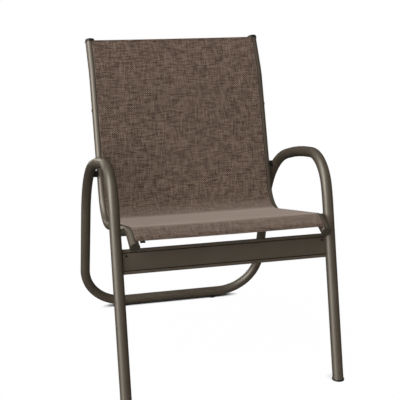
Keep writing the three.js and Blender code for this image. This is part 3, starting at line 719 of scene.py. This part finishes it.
def plain_mesh(name, points, edges, faces):
    mesh = bpy.data.meshes.new(name)
    mesh.from_pydata([tuple(p) for p in points], edges, faces)
    return mesh


@contextmanager
def edited(mesh):
    """The mesh opened for bmesh, and written back afterwards."""
    tidy = bmesh.new()
    tidy.from_mesh(mesh)
    yield tidy
    tidy.to_mesh(mesh)
    tidy.free()


def mirrored_mesh(mesh, name):
    """The same shape on the other side of the chair."""
    flipped = mesh.copy()
    flipped.name = name
    with edited(flipped) as tidy:
        for vertex in tidy.verts:
            vertex.co.x = -vertex.co.x
        bmesh.ops.reverse_faces(tidy, faces=tidy.faces)
    return flipped


def rings_to_mesh(name, rings):
    """A closed skin over rings of the same number of points, its faces pointing outwards."""
    count = len(rings[0])
    last = (len(rings) - 1) * count
    faces = [
        (k + i, k + (i + 1) % count, k + count + (i + 1) % count, k + count + i)
        for k in range(0, last, count)
        for i in range(count)
    ]
    faces += [tuple(range(count)), tuple(range(last, last + count))]
    mesh = plain_mesh(name, [p for ring in rings for p in ring], [], faces)
    with edited(mesh) as tidy:
        bmesh.ops.remove_doubles(tidy, verts=tidy.verts, dist=1e-7)
        bmesh.ops.recalc_face_normals(tidy, faces=tidy.faces)
    return mesh


def swept(name, section, line):
    """A section carried along a side-view line. Its points are (towards the chair's middle, out)."""
    rings = []
    for point, tangent in zip(line, tangents(line)):
        out = outward_of(tangent)
        rings.append([point + Vector((-across, 0, 0)) + out * reach for across, reach in section])
    return rings_to_mesh(name, rings)


def turned(profile, sides, outlines=None):
    """Rings about Z from (radius, height) points. A ring with an outline of its own follows that."""
    rings = []
    for step, (radius, height) in enumerate(profile):
        outline = (outlines or {}).get(step, lambda angle: 1)
        reaches = [(radius * outline(a), a) for a in around(sides)]
        rings.append([Vector((reach * math.cos(a), reach * math.sin(a), height)) for reach, a in reaches])
    return rings


def laid(rings, start, axis):
    """Rings about Z, laid from a point along a direction."""
    turn = Vector((0, 0, 1)).rotation_difference(axis)
    return [[start + turn @ p for p in ring] for ring in rings]


# Geometry node trees


def end_tree(sheet, shape, finish, put_out):
    """Every tree ends as one real mesh in its finish."""
    whole = sheet.add("GeometryNodeRealizeInstances", {"Geometry": shape})
    coated = sheet.add("GeometryNodeSetMaterial", {"Geometry": whole.outputs[0], "Material": finish})
    sheet.feed(put_out, {0: coated.outputs[0]})
    return sheet.tree


def make_tube_tree():
    """A round tube along a centre line."""
    sheet, given, put_out = new_group(
        "bent_tube",
        "GeometryNodeTree",
        [("Centre Line", "Geometry"), ("Tube Radius", "Float", TUBE_RADIUS), ("Sides", "Int", 48),
         ("Finish", "Material")],
        [("Tube", "Geometry")],
    )
    curve = sheet.add("GeometryNodeMeshToCurve", {"Mesh": given["Centre Line"]})
    section = sheet.add("GeometryNodeCurvePrimitiveCircle",
                        {"Resolution": given["Sides"], "Radius": given["Tube Radius"]})
    skin = sheet.add("GeometryNodeCurveToMesh",
                     {"Curve": curve.outputs[0], "Profile Curve": section.outputs[0], "Fill Caps": True})
    return end_tree(sheet, skin.outputs[0], given["Finish"], put_out)


def make_fastener_tree():
    """One fastener at each place, turned to that place's axis."""
    sheet, given, put_out = new_group(
        "fasteners",
        "GeometryNodeTree",
        [("Places", "Geometry"), ("Fastener", "Object"), ("Turn", "Float", 0.0), ("Finish", "Material")],
        [("Fasteners", "Geometry")],
    )
    axis = sheet.add("GeometryNodeInputNamedAttribute", {"Name": "axis"}, data_type="FLOAT_VECTOR")
    aligned = sheet.add("FunctionNodeAlignRotationToVector", {"Vector": axis.outputs[0]}, axis="Z")
    spun = sheet.add("ShaderNodeCombineXYZ", {"Z": given["Turn"]})
    turn = sheet.add("FunctionNodeEulerToRotation", {0: spun.outputs[0]})
    rotation = sheet.add("FunctionNodeRotateRotation",
                         {"Rotation": aligned.outputs[0], "Rotate By": turn.outputs[0]},
                         rotation_space="LOCAL")
    shape = sheet.add("GeometryNodeObjectInfo", {"Object": given["Fastener"]})
    placed = sheet.add("GeometryNodeInstanceOnPoints", {
        "Points": given["Places"],
        "Instance": shape.outputs["Geometry"],
        "Rotation": rotation.outputs[0],
    })
    return end_tree(sheet, placed.outputs[0], given["Finish"], put_out)


def make_stitch_tree():
    """Stitches in a row along a sewing line."""
    sheet, given, put_out = new_group(
        "stitch_row",
        "GeometryNodeTree",
        [("Sewing Line", "Geometry"), ("Pitch", "Float", STITCH_PITCH), ("Length", "Float", STITCH_LENGTH),
         ("Width", "Float", STITCH_WIDTH), ("Finish", "Material")],
        [("Stitches", "Geometry")],
    )
    line = sheet.add("GeometryNodeMeshToCurve", {"Mesh": given["Sewing Line"]})
    spaced = sheet.add("GeometryNodeResampleCurve", {"Curve": line.outputs[0], "Length": given["Pitch"]},
                       mode="LENGTH")
    tangent = sheet.add("GeometryNodeInputTangent")
    rotation = sheet.add("FunctionNodeAlignRotationToVector", {"Vector": tangent.outputs[0]}, axis="X")
    stitch = sheet.add("GeometryNodeMeshUVSphere", {"Segments": 8, "Rings": 5, "Radius": 0.5})
    size = sheet.add("ShaderNodeCombineXYZ",
                     {"X": given["Length"], "Y": given["Width"], "Z": given["Width"]})
    placed = sheet.add("GeometryNodeInstanceOnPoints", {
        "Points": spaced.outputs[0],
        "Instance": stitch.outputs["Mesh"],
        "Rotation": rotation.outputs[0],
        "Scale": size.outputs[0],
    })
    return end_tree(sheet, placed.outputs[0], given["Finish"], put_out)


tube_tree = make_tube_tree()
fastener_tree = make_fastener_tree()
stitch_tree = make_stitch_tree()


def grown(name, tree, source, values):
    """The plain mesh that a tree makes from a source mesh."""
    holder = in_scene(name + "_source", source)
    modifier = holder.modifiers.new("tree", "NODES")
    modifier.node_group = tree
    for item in tree.interface.items_tree:
        if item.in_out == "INPUT" and item.name in values:
            modifier[item.identifier] = values[item.name]
    graph = bpy.context.evaluated_depsgraph_get()
    mesh = bpy.data.meshes.new_from_object(holder.evaluated_get(graph), depsgraph=graph)
    mesh.name = name
    bpy.data.objects.remove(holder)
    with edited(mesh) as tidy:
        bmesh.ops.recalc_face_normals(tidy, faces=tidy.faces)
    return mesh


def lines_mesh(name, *lines):
    """Loose lines for a tree to follow."""
    points, edges = [], []
    for line in lines:
        edges += [(len(points) + i, len(points) + i + 1) for i in range(len(line) - 1)]
        points += line
    return plain_mesh(name, points, edges, [])


def bent_tube(name, line, radius, finish, sides=48):
    values = {"Tube Radius": radius, "Sides": sides, "Finish": finish}
    return grown(name, tube_tree, lines_mesh(name + "_line", line), values)


def fasteners(name, shape_rings, places, finish, turn=0.0):
    """Fasteners at (start, axis) places, as one piece."""
    shape = in_scene(name + "_shape", rings_to_mesh(name + "_shape", shape_rings))
    source = plain_mesh(name + "_places", [start for start, _ in places], [], [])
    axes = source.attributes.new("axis", "FLOAT_VECTOR", "POINT")
    axes.data.foreach_set("vector", [value for _, axis in places for value in axis])
    mesh = grown(name, fastener_tree, source, {"Fastener": shape, "Turn": turn, "Finish": finish})
    bpy.data.objects.remove(shape)
    return piece_of(name, mesh, finish)


right = Vector((1, 0, 0))
left = Vector((-1, 0, 0))


def mirrored_places(*places):
    """Each (start, axis) place and the same place on the other side."""
    both = []
    for start, axis in places:
        both += [(start, axis), (at_x(start, -start.x), at_x(axis, -axis.x))]
    return both


def keep(piece, slot, *nodes):
    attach(piece, "root")
    if nodes:
        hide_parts(*nodes)


def keep_pair(name, mesh, material, slot, node):
    """A right-hand mesh and its mirror image, each in the place of its node."""
    for side, own in (("right", mesh), ("left", mirrored_mesh(mesh, name + "_left"))):
        keep(piece_of(f"{side}_{name}", own, material), slot, f"{side}_{node}")


# Arm loops: front leg, arm, rear leg and half of the floor rail


def cut_level(mesh, height):
    """Cuts off what is below a level near the front foot, and closes the cut."""
    with edited(mesh) as tidy:
        near = [v for v in tidy.verts if v.co.y < foot_point.y + FOOT_ZONE and v.co.z < FOOT_ZONE]
        parts = [*near, *{e for v in near for e in v.link_edges}, *{f for v in near for f in v.link_faces}]
        cut = bmesh.ops.bisect_plane(tidy, geom=parts, plane_co=(0, 0, height), plane_no=(0, 0, 1),
                                     clear_inner=True)
        rim = [e for e in cut["geom_cut"] if isinstance(e, bmesh.types.BMEdge)]
        bmesh.ops.contextual_create(tidy, geom=rim)


loop_mesh = bent_tube("arm_loop", loop_line, TUBE_RADIUS, bronze_coat)
cut_level(loop_mesh, FOOT_HEIGHT)
keep_pair("arm_loop", loop_mesh, bronze_coat, "frame_metal", "arm_loop_tube")


# Feet and glides


def foot_mesh():
    """A raked collar round the leg's end that stands flat on the floor."""
    profile = [(FOOT_RADIUS - inset * FOOT_ROUND, up * FOOT_ROUND) for inset, up in FOOT_LOWER_SHARES]
    profile += [(FOOT_RADIUS - inset * FOOT_ROUND, FOOT_HEIGHT - down * FOOT_ROUND)
                for inset, down in FOOT_UPPER_SHARES]
    rings = []
    for radius, height in profile:
        middle = foot_point + leg_direction * height / leg_direction.z
        long_radius = radius / leg_direction.z
        rings.append([
            Vector((HALF_TRACK + radius * math.cos(a), middle.y + long_radius * math.sin(a), height))
            for a in around(48)
        ])
    return rings_to_mesh("front_foot", rings)


keep_pair("foot", foot_mesh(), black_plastic, "black_plastic", "front_foot")


def glide_mesh(name, offset):
    seat = GLIDE_HEIGHT - GAP
    profile = [*GLIDE_DOME, (GLIDE_RADIUS, GLIDE_SIDE_TOP), (GLIDE_TOP_RADIUS, seat),
               (GLIDE_STEM_RADIUS, seat), (GLIDE_STEM_RADIUS, seat + GLIDE_STEM_LENGTH)]
    start = Vector((offset, floor_rail.y, 0))
    return rings_to_mesh(name, laid(turned(profile, 40), start, Vector((0, 0, 1))))


for side, offset in GLIDE_OFFSETS.items():
    glide = piece_of(f"{side}_glide", glide_mesh(f"{side}_glide", offset), black_plastic)
    keep(glide, "black_plastic", f"{side}_rear_glide")


# Sling rails


def groove_point(reach, aside):
    """A point a distance along the groove from the rail's centre, and aside from its middle."""
    return (
        reach * math.sin(GROOVE_TILT) + aside * math.cos(GROOVE_TILT),
        reach * math.cos(GROOVE_TILT) - aside * math.sin(GROOVE_TILT),
    )


def rail_section():
    half = GROOVE_WIDTH / 2
    lip_radius = RAIL_RADIUS - LIP_ROUND
    mouth = math.asin((half + LIP_ROUND) / lip_radius)
    neck = math.asin(half / CAVITY_RADIUS)
    outside = arc(RAIL_RADIUS, 56, mouth, 2 * math.pi - mouth)
    cavity = arc(CAVITY_RADIUS, 20, neck, 2 * math.pi - neck, (CAVITY_REACH, 0))
    lip_reach = math.sqrt(lip_radius ** 2 - (half + LIP_ROUND) ** 2)
    first_lip, last_lip = (
        [(lip_reach + LIP_ROUND * math.sin(a), sign * (half + LIP_ROUND - LIP_ROUND * math.cos(a)))
         for a in spread(0, math.pi / 2, 3)]
        for sign in (-1, 1)
    )
    # Outside from one lip round to the other, down into the cavity and back
    return [groove_point(x, y) for x, y in outside + first_lip[::-1] + cavity[::-1] + last_lip]


rail_mesh = swept("sling_rail", rail_section(), shifted(rail_line, RAIL_X))
keep_pair("sling_rail", rail_mesh, bronze_coat, "frame_metal", "sling_rail")

spline_line = trimmed(rail_line, SPLINE_TOP_SETBACK, SPLINE_FRONT_SETBACK)
spline_across, spline_out = groove_point(CAVITY_REACH, 0)
spline_path = [
    at_x(point, RAIL_X - spline_across) + outward_of(tangent) * spline_out
    for point, tangent in zip(spline_line, tangents(spline_line))
]
spline_mesh = bent_tube("spline", spline_path, SPLINE_RADIUS, black_plastic, sides=16)
keep_pair("spline", spline_mesh, black_plastic, "black_plastic", "spline_rod")


def cap_mesh(name, end, after, height, past_rail, skirt=0.0):
    """A domed cap. With a skirt it is a cup that also covers the rail's outside."""
    axis = (end - after).normalized()
    rim = RAIL_RADIUS + past_rail
    inside = RAIL_RADIUS + GAP
    if skirt:
        profile = [(CAP_TIP, 0), (inside, 0), (inside, -skirt), (rim - CAP_EDGE, -skirt),
                   (rim, CAP_EDGE - skirt)]
    else:
        profile = [(rim - CAP_FOOT_INSET, 0), (rim, CAP_EDGE)]
    dome_share = 1 - CAP_SIDE_SHARE
    profile += [(rim * math.cos(a), height * (CAP_SIDE_SHARE + dome_share * math.sin(a)))
                for a in spread(0, math.pi / 2, 8)[:-1]]
    profile += [(CAP_TIP, height)]
    return rings_to_mesh(name, laid(turned(profile, 48), at_x(end, RAIL_X) + axis * GAP, axis))


top_cap_mesh = cap_mesh("top_cap", rail_line[0], rail_line[1], TOP_CAP_HEIGHT, TOP_CAP_RIM, TOP_CAP_SKIRT)
keep_pair("top_cap", top_cap_mesh, black_plastic, "black_plastic", "rail_top_cap")
front_cap_mesh = cap_mesh("front_cap", rail_line[-1], rail_line[-2], FRONT_CAP_HEIGHT, CAP_RIM)
keep_pair("front_cap", front_cap_mesh, brown_plastic, "brown_plastic", "rail_front_cap")


# Sling


def cloth_level(x, half_span=RAIL_X):
    """How far the sagging sheet lies out from the rail's line, across the chair."""
    return CLOTH_LEVEL - CLOTH_SAG * (1 - (x / half_span) ** 2)


def cloth_section():
    """From the right groove over its inner lip, across to the middle, and the same to the left."""
    inside = [(CAVITY_REACH + SPLINE_RADIUS, 0), (RAIL_RADIUS - MOUTH_DEPTH, CLOTH_ASIDE)]
    top_reach = (CLOTH_LEVEL + CLOTH_ASIDE * math.sin(GROOVE_TILT)) / math.cos(GROOVE_TILT)
    corners = [groove_point(*spot) for spot in [*inside, (top_reach, CLOTH_ASIDE)]]
    corners = [Vector((x, y, 0)) for x, y in [*corners, (RAIL_X, CLOTH_LEVEL)]]
    turned_in = bent_line(corners, [GROOVE_FOLD, CLOTH_FOLD], step=12)
    edge = [(RAIL_X - p.x, p.y) for p in turned_in[:-1]]
    free = edge[-1][0]
    places = [free * (1 - k / CLOTH_HALF_STRIPS) for k in range(1, 2 * CLOTH_HALF_STRIPS)]
    return edge + [(x, cloth_level(x, free)) for x in places] + [(-x, y) for x, y in edge[::-1]]


def map_cloth(mesh, place_of):
    """Gives the mesh its cloth map in metres, from each vertex: across, then along."""
    cloth_map = mesh.uv_layers.new(name="cloth")
    for loop in mesh.loops:
        cloth_map.data[loop.index].uv = place_of(mesh.vertices[loop.vertex_index])


def cloth_mesh(name, section, line):
    """An open sheet whose section is carried along a line."""
    across, along = running(section), running(line)
    points = []
    for point, tangent in zip(line, tangents(line)):
        out = outward_of(tangent)
        points += [at_x(point, s.x) + out * s.y for s in section]
    count = len(section)
    faces = [
        (k * count + i, (k + 1) * count + i, (k + 1) * count + i + 1, k * count + i + 1)
        for k in range(len(line) - 1)
        for i in range(count - 1)
    ]
    mesh = plain_mesh(name, points, [], faces)
    map_cloth(mesh, lambda v: (across[v.index % count] - across[-1] / 2, along[v.index // count]))
    return mesh


section = [Vector((x, y, 0)) for x, y in cloth_section()]
sling_mesh = cloth_mesh("sling", section, finer(cloth_line, CLOTH_STEP))
sling = piece_of("sling", sling_mesh, sling_cloth, smooth_below=80)
solid = sling.modifiers.new("thickness", "SOLIDIFY")
solid.thickness = CLOTH_THICKNESS
solid.offset = 0
solid.use_even_offset = True


# Hems: the cloth's ends folded under and sewn down


def hem_profile():
    """(along, out) points from under the sheet, round its end to its top. Along is past the end."""
    half = CLOTH_THICKNESS / 2
    under = -half - HEM_THICKNESS
    middle, radius = (half + under) / 2, (half - under) / 2
    flat = [(along, under) for along in spread(-HEM_DEPTH, 0, 6)]
    fold = [(radius * math.sin(a), middle - radius * math.cos(a)) for a in spread(0, math.pi, 8)[1:]]
    return [(-HEM_DEPTH, -half), *flat, *fold]


def hem_mesh(name, line, sense):
    """The hem at a line's last point. Its sense is -1 where the line runs from the front upwards."""
    end_direction = tangents(line)[-1]
    spots = []
    for along, out in hem_profile():
        if along < 0:
            back = dropped(line[::-1], -along)
            place, direction = back[0], (back[0] - back[1]).normalized()
        else:
            place, direction = line[-1] + end_direction * along, end_direction
        spots.append((place, outward_of(direction) * sense, out))
    free = RAIL_X - HEM_INSET
    rings = [[at_x(place, x) + side * (cloth_level(x) + out) for place, side, out in spots]
             for x in spread(-free, free, 48)]
    mesh = rings_to_mesh(name, rings)
    map_cloth(mesh, lambda v: (v.co.x, v.co.z - v.co.y))
    return mesh


front_hem = piece_of("front_hem", hem_mesh("front_hem", cloth_line, 1), sling_cloth)
top_hem = piece_of("top_hem", hem_mesh("top_hem", cloth_line[::-1], -1), sling_cloth)


def sewing_line(from_front):
    """A line across the sheet's top, a distance from its front edge."""
    back = dropped(cloth_line[::-1], from_front)
    out = outward_of((back[0] - back[1]).normalized())
    free = RAIL_X - HEM_INSET - SEAM_FROM_EDGE
    return [at_x(back[0], x) + out * (cloth_level(x) + CLOTH_THICKNESS / 2)
            for x in spread(-free, free, 32)]


from_ends = (SEAM_FROM_EDGE, HEM_DEPTH - SEAM_FROM_FOLD)
rows = [sewing_line(place) for place in (*from_ends, *(cloth_length - inward for inward in from_ends))]
stitch_values = {"Pitch": STITCH_PITCH, "Length": STITCH_LENGTH, "Width": STITCH_WIDTH, "Finish": thread}
stitch_mesh = grown("hem_stitches", stitch_tree, lines_mesh("sewing", *rows), stitch_values)
hem_stitches = piece_of("hem_stitches", stitch_mesh, thread)


# Edge tag: a folded strip of black plastic under the front hem's left end


def tag_mesh():
    inner_x = RAIL_X - RAIL_RADIUS - GAP
    level = RAIL_RADIUS - TAG_LAYER
    sewn_at = running(rail_line)[-1] - CLOTH_FRONT_SETBACK - TAG_SEWN
    line = finer(trimmed(rail_line, sewn_at, CLOTH_FRONT_SETBACK - TAG_SHOWN), TAG_STEP)
    section = [(0, -TAG_LAYER), (0, TAG_LAYER), (TAG_WIDTH, TAG_LAYER), (TAG_WIDTH, -TAG_LAYER)]
    rings = []
    for k, (point, tangent) in enumerate(zip(line, tangents(line))):
        out = outward_of(tangent)
        # The folded end is rounded
        near_end = max(0.0, 1 - (len(line) - 1 - k) * TAG_STEP / TAG_LAYER)
        pinch = math.sqrt(max(0.02, 1 - near_end ** 2))
        rings.append([at_x(point, -inner_x + x) + out * (level + y * pinch) for x, y in section])
    return rings_to_mesh("edge_tag", rings)


edge_tag = piece_of("edge_tag", tag_mesh(), black_plastic)

keep(sling, "sling", "sling_fabric")
keep(front_hem, "sling")
keep(top_hem, "sling")
keep(hem_stitches, "sling")
keep(edge_tag, "black_plastic", "hem_tag")


# Spacers and fasteners


def spacer_mesh(name, point, loop_tangent, rail_tangent):
    """A barrel whose ends fit the rail's and the loop's round sides."""

    def sunk(radius, tangent, aside):
        off = (aside - tangent * aside.dot(tangent)).length
        return math.sqrt(radius ** 2 - off ** 2) + GAP

    chamfer = Vector((SPACER_CHAMFER, 0, 0))
    rings = [[], [], [], []]
    for angle in around(40):
        inner, outer = [], []
        for share in (SPACER_END_SHARE, 1.0):
            aside = Vector((0, math.cos(angle), math.sin(angle))) * SPACER_RADIUS * share
            inner.append(at_x(point + aside, RAIL_X + sunk(RAIL_RADIUS, rail_tangent, aside)))
            outer.append(at_x(point + aside, HALF_TRACK - sunk(TUBE_RADIUS, loop_tangent, aside)))
        for ring, spot in zip(rings, (inner[0], inner[1] + chamfer, outer[1] - chamfer, outer[0])):
            ring.append(spot)
    return rings_to_mesh(name, rings)


for place, point, plastic, slot in (("front", bolt_front, brown_plastic, "brown_plastic"),
                                    ("rear", bolt_rear, black_plastic, "black_plastic")):
    mesh = spacer_mesh(f"{place}_spacer", point, tangent_near(side_loop, point),
                       tangent_near(rail_line, point))
    keep_pair(f"{place}_standoff", mesh, plastic, slot, f"{place}_spacer")


def hexagon(angle):
    """A hexagon's outline, as a share of half its width over the flats."""
    return 1 / math.cos((angle + math.pi / 6) % (math.pi / 3) - math.pi / 6)


def cross(angle):
    """A cross's outline, as a share of its arm's length."""
    short, long = sorted((abs(math.cos(angle)), abs(math.sin(angle))))
    return 1 / long if short / long < CROSS_ARM_SHARE else CROSS_ARM_SHARE / short


def button_screw(head, shank_radius, shank_length, outline, across_share, depth_share):
    """A screw about Z: its shank runs up from 0. Its domed head is below, with a recess of an outline."""
    radius, height = head
    reach = radius * across_share
    profile = [(shank_radius * SHANK_TIP_SHARE, shank_length), (shank_radius, shank_length - SHANK_CHAMFER),
               (shank_radius, 0), *[(radius * across, -height * up) for across, up in HEAD_SHARES]]
    recess = len(profile)
    profile += [(reach, -height), (reach * 0.94, -height * (1 - depth_share)),
                (reach * 0.1, -height * (0.9 - depth_share))]
    return turned(profile, 48, {recess: outline, recess + 1: outline})


def names_for(*nodes):
    return [f"{side}_{node}" for node in nodes for side in ("right", "left")]


rail_face = RAIL_X - RAIL_RADIUS - GAP
bolts = fasteners(
    "rail_bolts",
    button_screw(BOLT_HEAD, BOLT_RADIUS, BOLT_LENGTH, hexagon, across_share=0.36, depth_share=0.7),
    mirrored_places((at_x(bolt_front, rail_face), right), (at_x(bolt_rear, rail_face), right)),
    steel,
)
keep(bolts, "fastener_steel", *names_for("front_bolt", "rear_bolt"))

bar_face = RAIL_X + RAIL_RADIUS + GAP
bar_screws = fasteners(
    "bar_screws",
    button_screw(BAR_SCREW_HEAD, BOLT_RADIUS, BAR_SCREW_LENGTH, hexagon,
                 across_share=0.4, depth_share=0.6),
    mirrored_places((at_x(seat_bar, bar_face), left), (at_x(back_bar, bar_face), left)),
    bronze_coat,
)
keep(bar_screws, "frame_metal", *names_for("seat_bar_screw", "back_bar_screw"))


# Spreader bars, bowed away from the cloth


def spreader_line(point, rake):
    bowed = point + side_step(side_point(0, 0), rake, BAR_BOW)
    stub = rail_face - BAR_STUB
    middle = stub - BAR_SLOPE
    corners = [at_x(point, rail_face), at_x(point, stub), at_x(bowed, middle),
               at_x(bowed, -middle), at_x(point, -stub), at_x(point, -rail_face)]
    return bent_line(corners, [BAR_BEND] * 4)


for name, point, rake in (("seat", seat_bar, seat_rake - 90), ("back", back_bar, BACK_RAKE + 90)):
    bar = bent_tube(f"{name}_spreader", spreader_line(point, rake), BAR_RADIUS, bronze_coat, sides=32)
    keep(piece_of(f"{name}_spreader", bar, bronze_coat), "frame_metal", f"{name}_spreader_bar")


# Apron between the front legs

apron_top = bolt_front - leg_direction * (RAIL_RADIUS + APRON_BELOW_RAIL)
apron_forward = Vector((0, -leg_direction.z, leg_direction.y))


def apron_point(x, forward, below):
    return at_x(apron_top, x) + apron_forward * forward - leg_direction * below


def apron_section():
    """(forward, up) points round the apron, its face at zero and its top edge at zero."""
    front, back = -APRON_CORNER, APRON_CORNER - APRON_THICKNESS
    high, low = -APRON_CORNER, APRON_CORNER - APRON_HEIGHT
    points = []
    for quarter, middle in enumerate(((front, high), (back, high), (back, low), (front, low))):
        start, end = math.radians(90 * quarter), math.radians(90 * quarter + 90)
        points += arc(APRON_CORNER, 24, start, end, middle)
    for up in (APRON_BEAD - APRON_HEIGHT, -APRON_BEAD):
        points += [(-APRON_LINE_DEPTH * deep, up + APRON_LINE_WIDTH / 2 * across)
                   for across, deep in APRON_LINE_SHARES]
    return points


def apron_mesh():
    """A bar whose ends fit the legs' round sides."""
    longest = HALF_TRACK - APRON_END_SETBACK
    outline = []
    for forward, up in apron_section():
        off_axis = min(abs(forward + APRON_FORWARD), TUBE_RADIUS)
        leg_side = HALF_TRACK - math.sqrt(TUBE_RADIUS ** 2 - off_axis ** 2)
        outline.append((min(longest, leg_side + APRON_OVERLAP), forward + APRON_FORWARD, -up))
    rings = [[apron_point(share * end, forward, below) for end, forward, below in outline]
             for share in spread(-1, 1, 4)]
    return rings_to_mesh("apron", rings)


def apron_painted_shade_grooves():
    top, face = -leg_direction.dot(apron_top), apron_forward.dot(apron_top) + APRON_FORWARD
    return apron_forward, face, -leg_direction, (top + APRON_BEAD, top + APRON_HEIGHT - APRON_BEAD)


# The apron's coat gets painted shade along its two grooves, on top of the shallow grooves that its mesh has
apron_coat_painted_shade = make_bronze_coat("apron_coat_painted_shade", apron_painted_shade_grooves())
keep(piece_of("apron", apron_mesh(), apron_coat_painted_shade, smooth_below=40), "frame_metal", "front_apron")

screw_x = HALF_TRACK - TUBE_RADIUS - APRON_SCREW_INSET
screw_start = apron_point(screw_x, APRON_FORWARD + GAP, APRON_SCREW_BELOW_TOP)
apron_screws = fasteners(
    "apron_screws",
    button_screw(APRON_SCREW_HEAD, APRON_SCREW_RADIUS, APRON_SCREW_LENGTH, cross,
                 across_share=0.55, depth_share=0.55),
    mirrored_places((screw_start, -apron_forward)),
    black_plastic,
    turn=math.radians(20),
)
keep(apron_screws, "black_plastic", *names_for("apron_screw"))


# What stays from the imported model, hidden inside tubes and the apron

for name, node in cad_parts.items():
    if not node.hide_render:
        node.data.materials.clear()
        node.data.materials.append(steel if "nut" in name else aluminium)


# Floor, background and light

FLOOR_CORNERS = [(-40, -20, 0), (40, -20, 0), (40, 60, 0), (-40, 60, 0)]
FLOOR_GLOW_SHARE = 0.985
SHADE_REACH = 0.035
# Faces the front, so that the floor is closed in only behind a foot or a rail
SHADE_FACING = {"X": 0.0, "Y": -0.866, "Z": 0.5}
FRONT_FADE_FROM = -0.1
FRONT_FADE_TO = 0.1


def seen_white(sheet):
    """1 for camera, glossy and transmission rays, to which the surroundings look white."""
    path = sheet.add("ShaderNodeLightPath").outputs
    beyond = sheet.sum_of("MAXIMUM", path["Is Glossy Ray"], path["Is Transmission Ray"])
    return sheet.sum_of("MAXIMUM", path["Is Camera Ray"], beyond)


def make_floor():
    """Near white where it is seen, with a painted shadow in its glow close behind what stands on it."""
    mesh = plain_mesh("floor", FLOOR_CORNERS, [], [(0, 1, 2, 3)])
    floor = in_scene("floor", mesh)
    material = bpy.data.materials.new("pale_floor")
    sheet = emptied(material)
    frontwards = sheet.add("ShaderNodeCombineXYZ", SHADE_FACING).outputs[0]
    open_share = sheet.add("ShaderNodeAmbientOcclusion", {"Distance": SHADE_REACH, "Normal": frontwards},
                           samples=16).outputs["AO"]
    spot = sheet.add("ShaderNodeTexCoord").outputs["Object"]
    back = sheet.add("ShaderNodeSeparateXYZ", {0: spot}).outputs["Y"]
    # The shade is faint round the front feet and full behind the rear rail
    weakest = sheet.ranged(back, FRONT_FADE_FROM, FRONT_FADE_TO, 0.85, 0.0)
    light = sheet.sum_of("MAXIMUM", sheet.ranged(open_share, 0.63, 0.8), weakest)
    shade = sheet.colours(light, FLOOR_SHADE, WHITE)
    bare = sheet.add("ShaderNodeBsdfDiffuse", {"Color": (0.18, 0.18, 0.18, 1)})
    lit = sheet.add("ShaderNodeBsdfDiffuse", {"Color": (0.8, 0.8, 0.8, 1)})
    glow = sheet.add("ShaderNodeEmission", {"Color": shade, "Strength": 1.0})
    white = sheet.add("ShaderNodeMixShader", {0: FLOOR_GLOW_SHARE, 1: lit.outputs[0], 2: glow.outputs[0]})
    seen = seen_white(sheet)
    mixed = sheet.add("ShaderNodeMixShader", {0: seen, 1: bare.outputs[0], 2: white.outputs[0]})
    sheet.add("ShaderNodeOutputMaterial", {"Surface": mixed.outputs[0]})
    mesh.materials.append(material)


def make_world():
    world = bpy.data.worlds.new("soft_room")
    bpy.context.scene.world = world
    sheet = emptied(world)
    room, white = (sheet.add("ShaderNodeBackground", {"Color": WHITE, "Strength": strength}).outputs[0]
                   for strength in (0.31, 1.0))
    mixed = sheet.add("ShaderNodeMixShader", {0: seen_white(sheet), 1: room, 2: white})
    sheet.add("ShaderNodeOutputWorld", {"Surface": mixed.outputs[0]})


def soft_sun(name, azimuth, elevation, strength, spread_angle, gloss_only=False):
    """A wide lamp far off. Azimuth 0 is behind a viewer who faces the chair's front."""
    a, e = math.radians(azimuth), math.radians(elevation)
    away = Vector((math.sin(a) * math.cos(e), -math.cos(a) * math.cos(e), math.sin(e)))
    lamp = bpy.data.lights.new(name, "SUN")
    lamp.energy = strength
    lamp.angle = math.radians(spread_angle)
    if gloss_only:
        lamp.color = WARM_LIGHT
    holder = in_scene(name, lamp)
    holder.rotation_mode = "QUATERNION"
    holder.rotation_quaternion = away.to_track_quat("Z", "Y")
    holder.visible_diffuse = not gloss_only


make_floor()
make_world()

# Each lamp's azimuth, elevation, strength and spread
soft_sun("window_side", -67, 50, 2.2, 60)
soft_sun("ceiling", -10, 80, 0.25, 60)
soft_sun("front_fill", -25, 10, 2.4, 30)
soft_sun("window_glint", -68, 16, 60, 20, gloss_only=True)
soft_sun("upper_glint", -76, 52, 40, 20, gloss_only=True)
soft_sun("edge_glint", -165, 2, 11, 25, gloss_only=True)
soft_sun("room_behind", -168, 12, 1.6, 40)

CAMERA_PLACE = (-0.6631, -2.3967, 1.0654)
CAMERA_YAW = 15.5
CAMERA_PITCH = 14.5

camera_data = bpy.data.cameras.new("camera")
camera_data.sensor_width = 36
camera_data.lens = 83.2
camera_data.shift_x = -0.0015
camera_data.clip_end = 200
camera = in_scene("camera", camera_data)
camera.location = CAMERA_PLACE
camera.rotation_euler = (math.radians(90 - CAMERA_PITCH), 0, math.radians(-CAMERA_YAW))
bpy.context.scene.camera = camera
bpy.context.scene.view_settings.view_transform = "Standard"
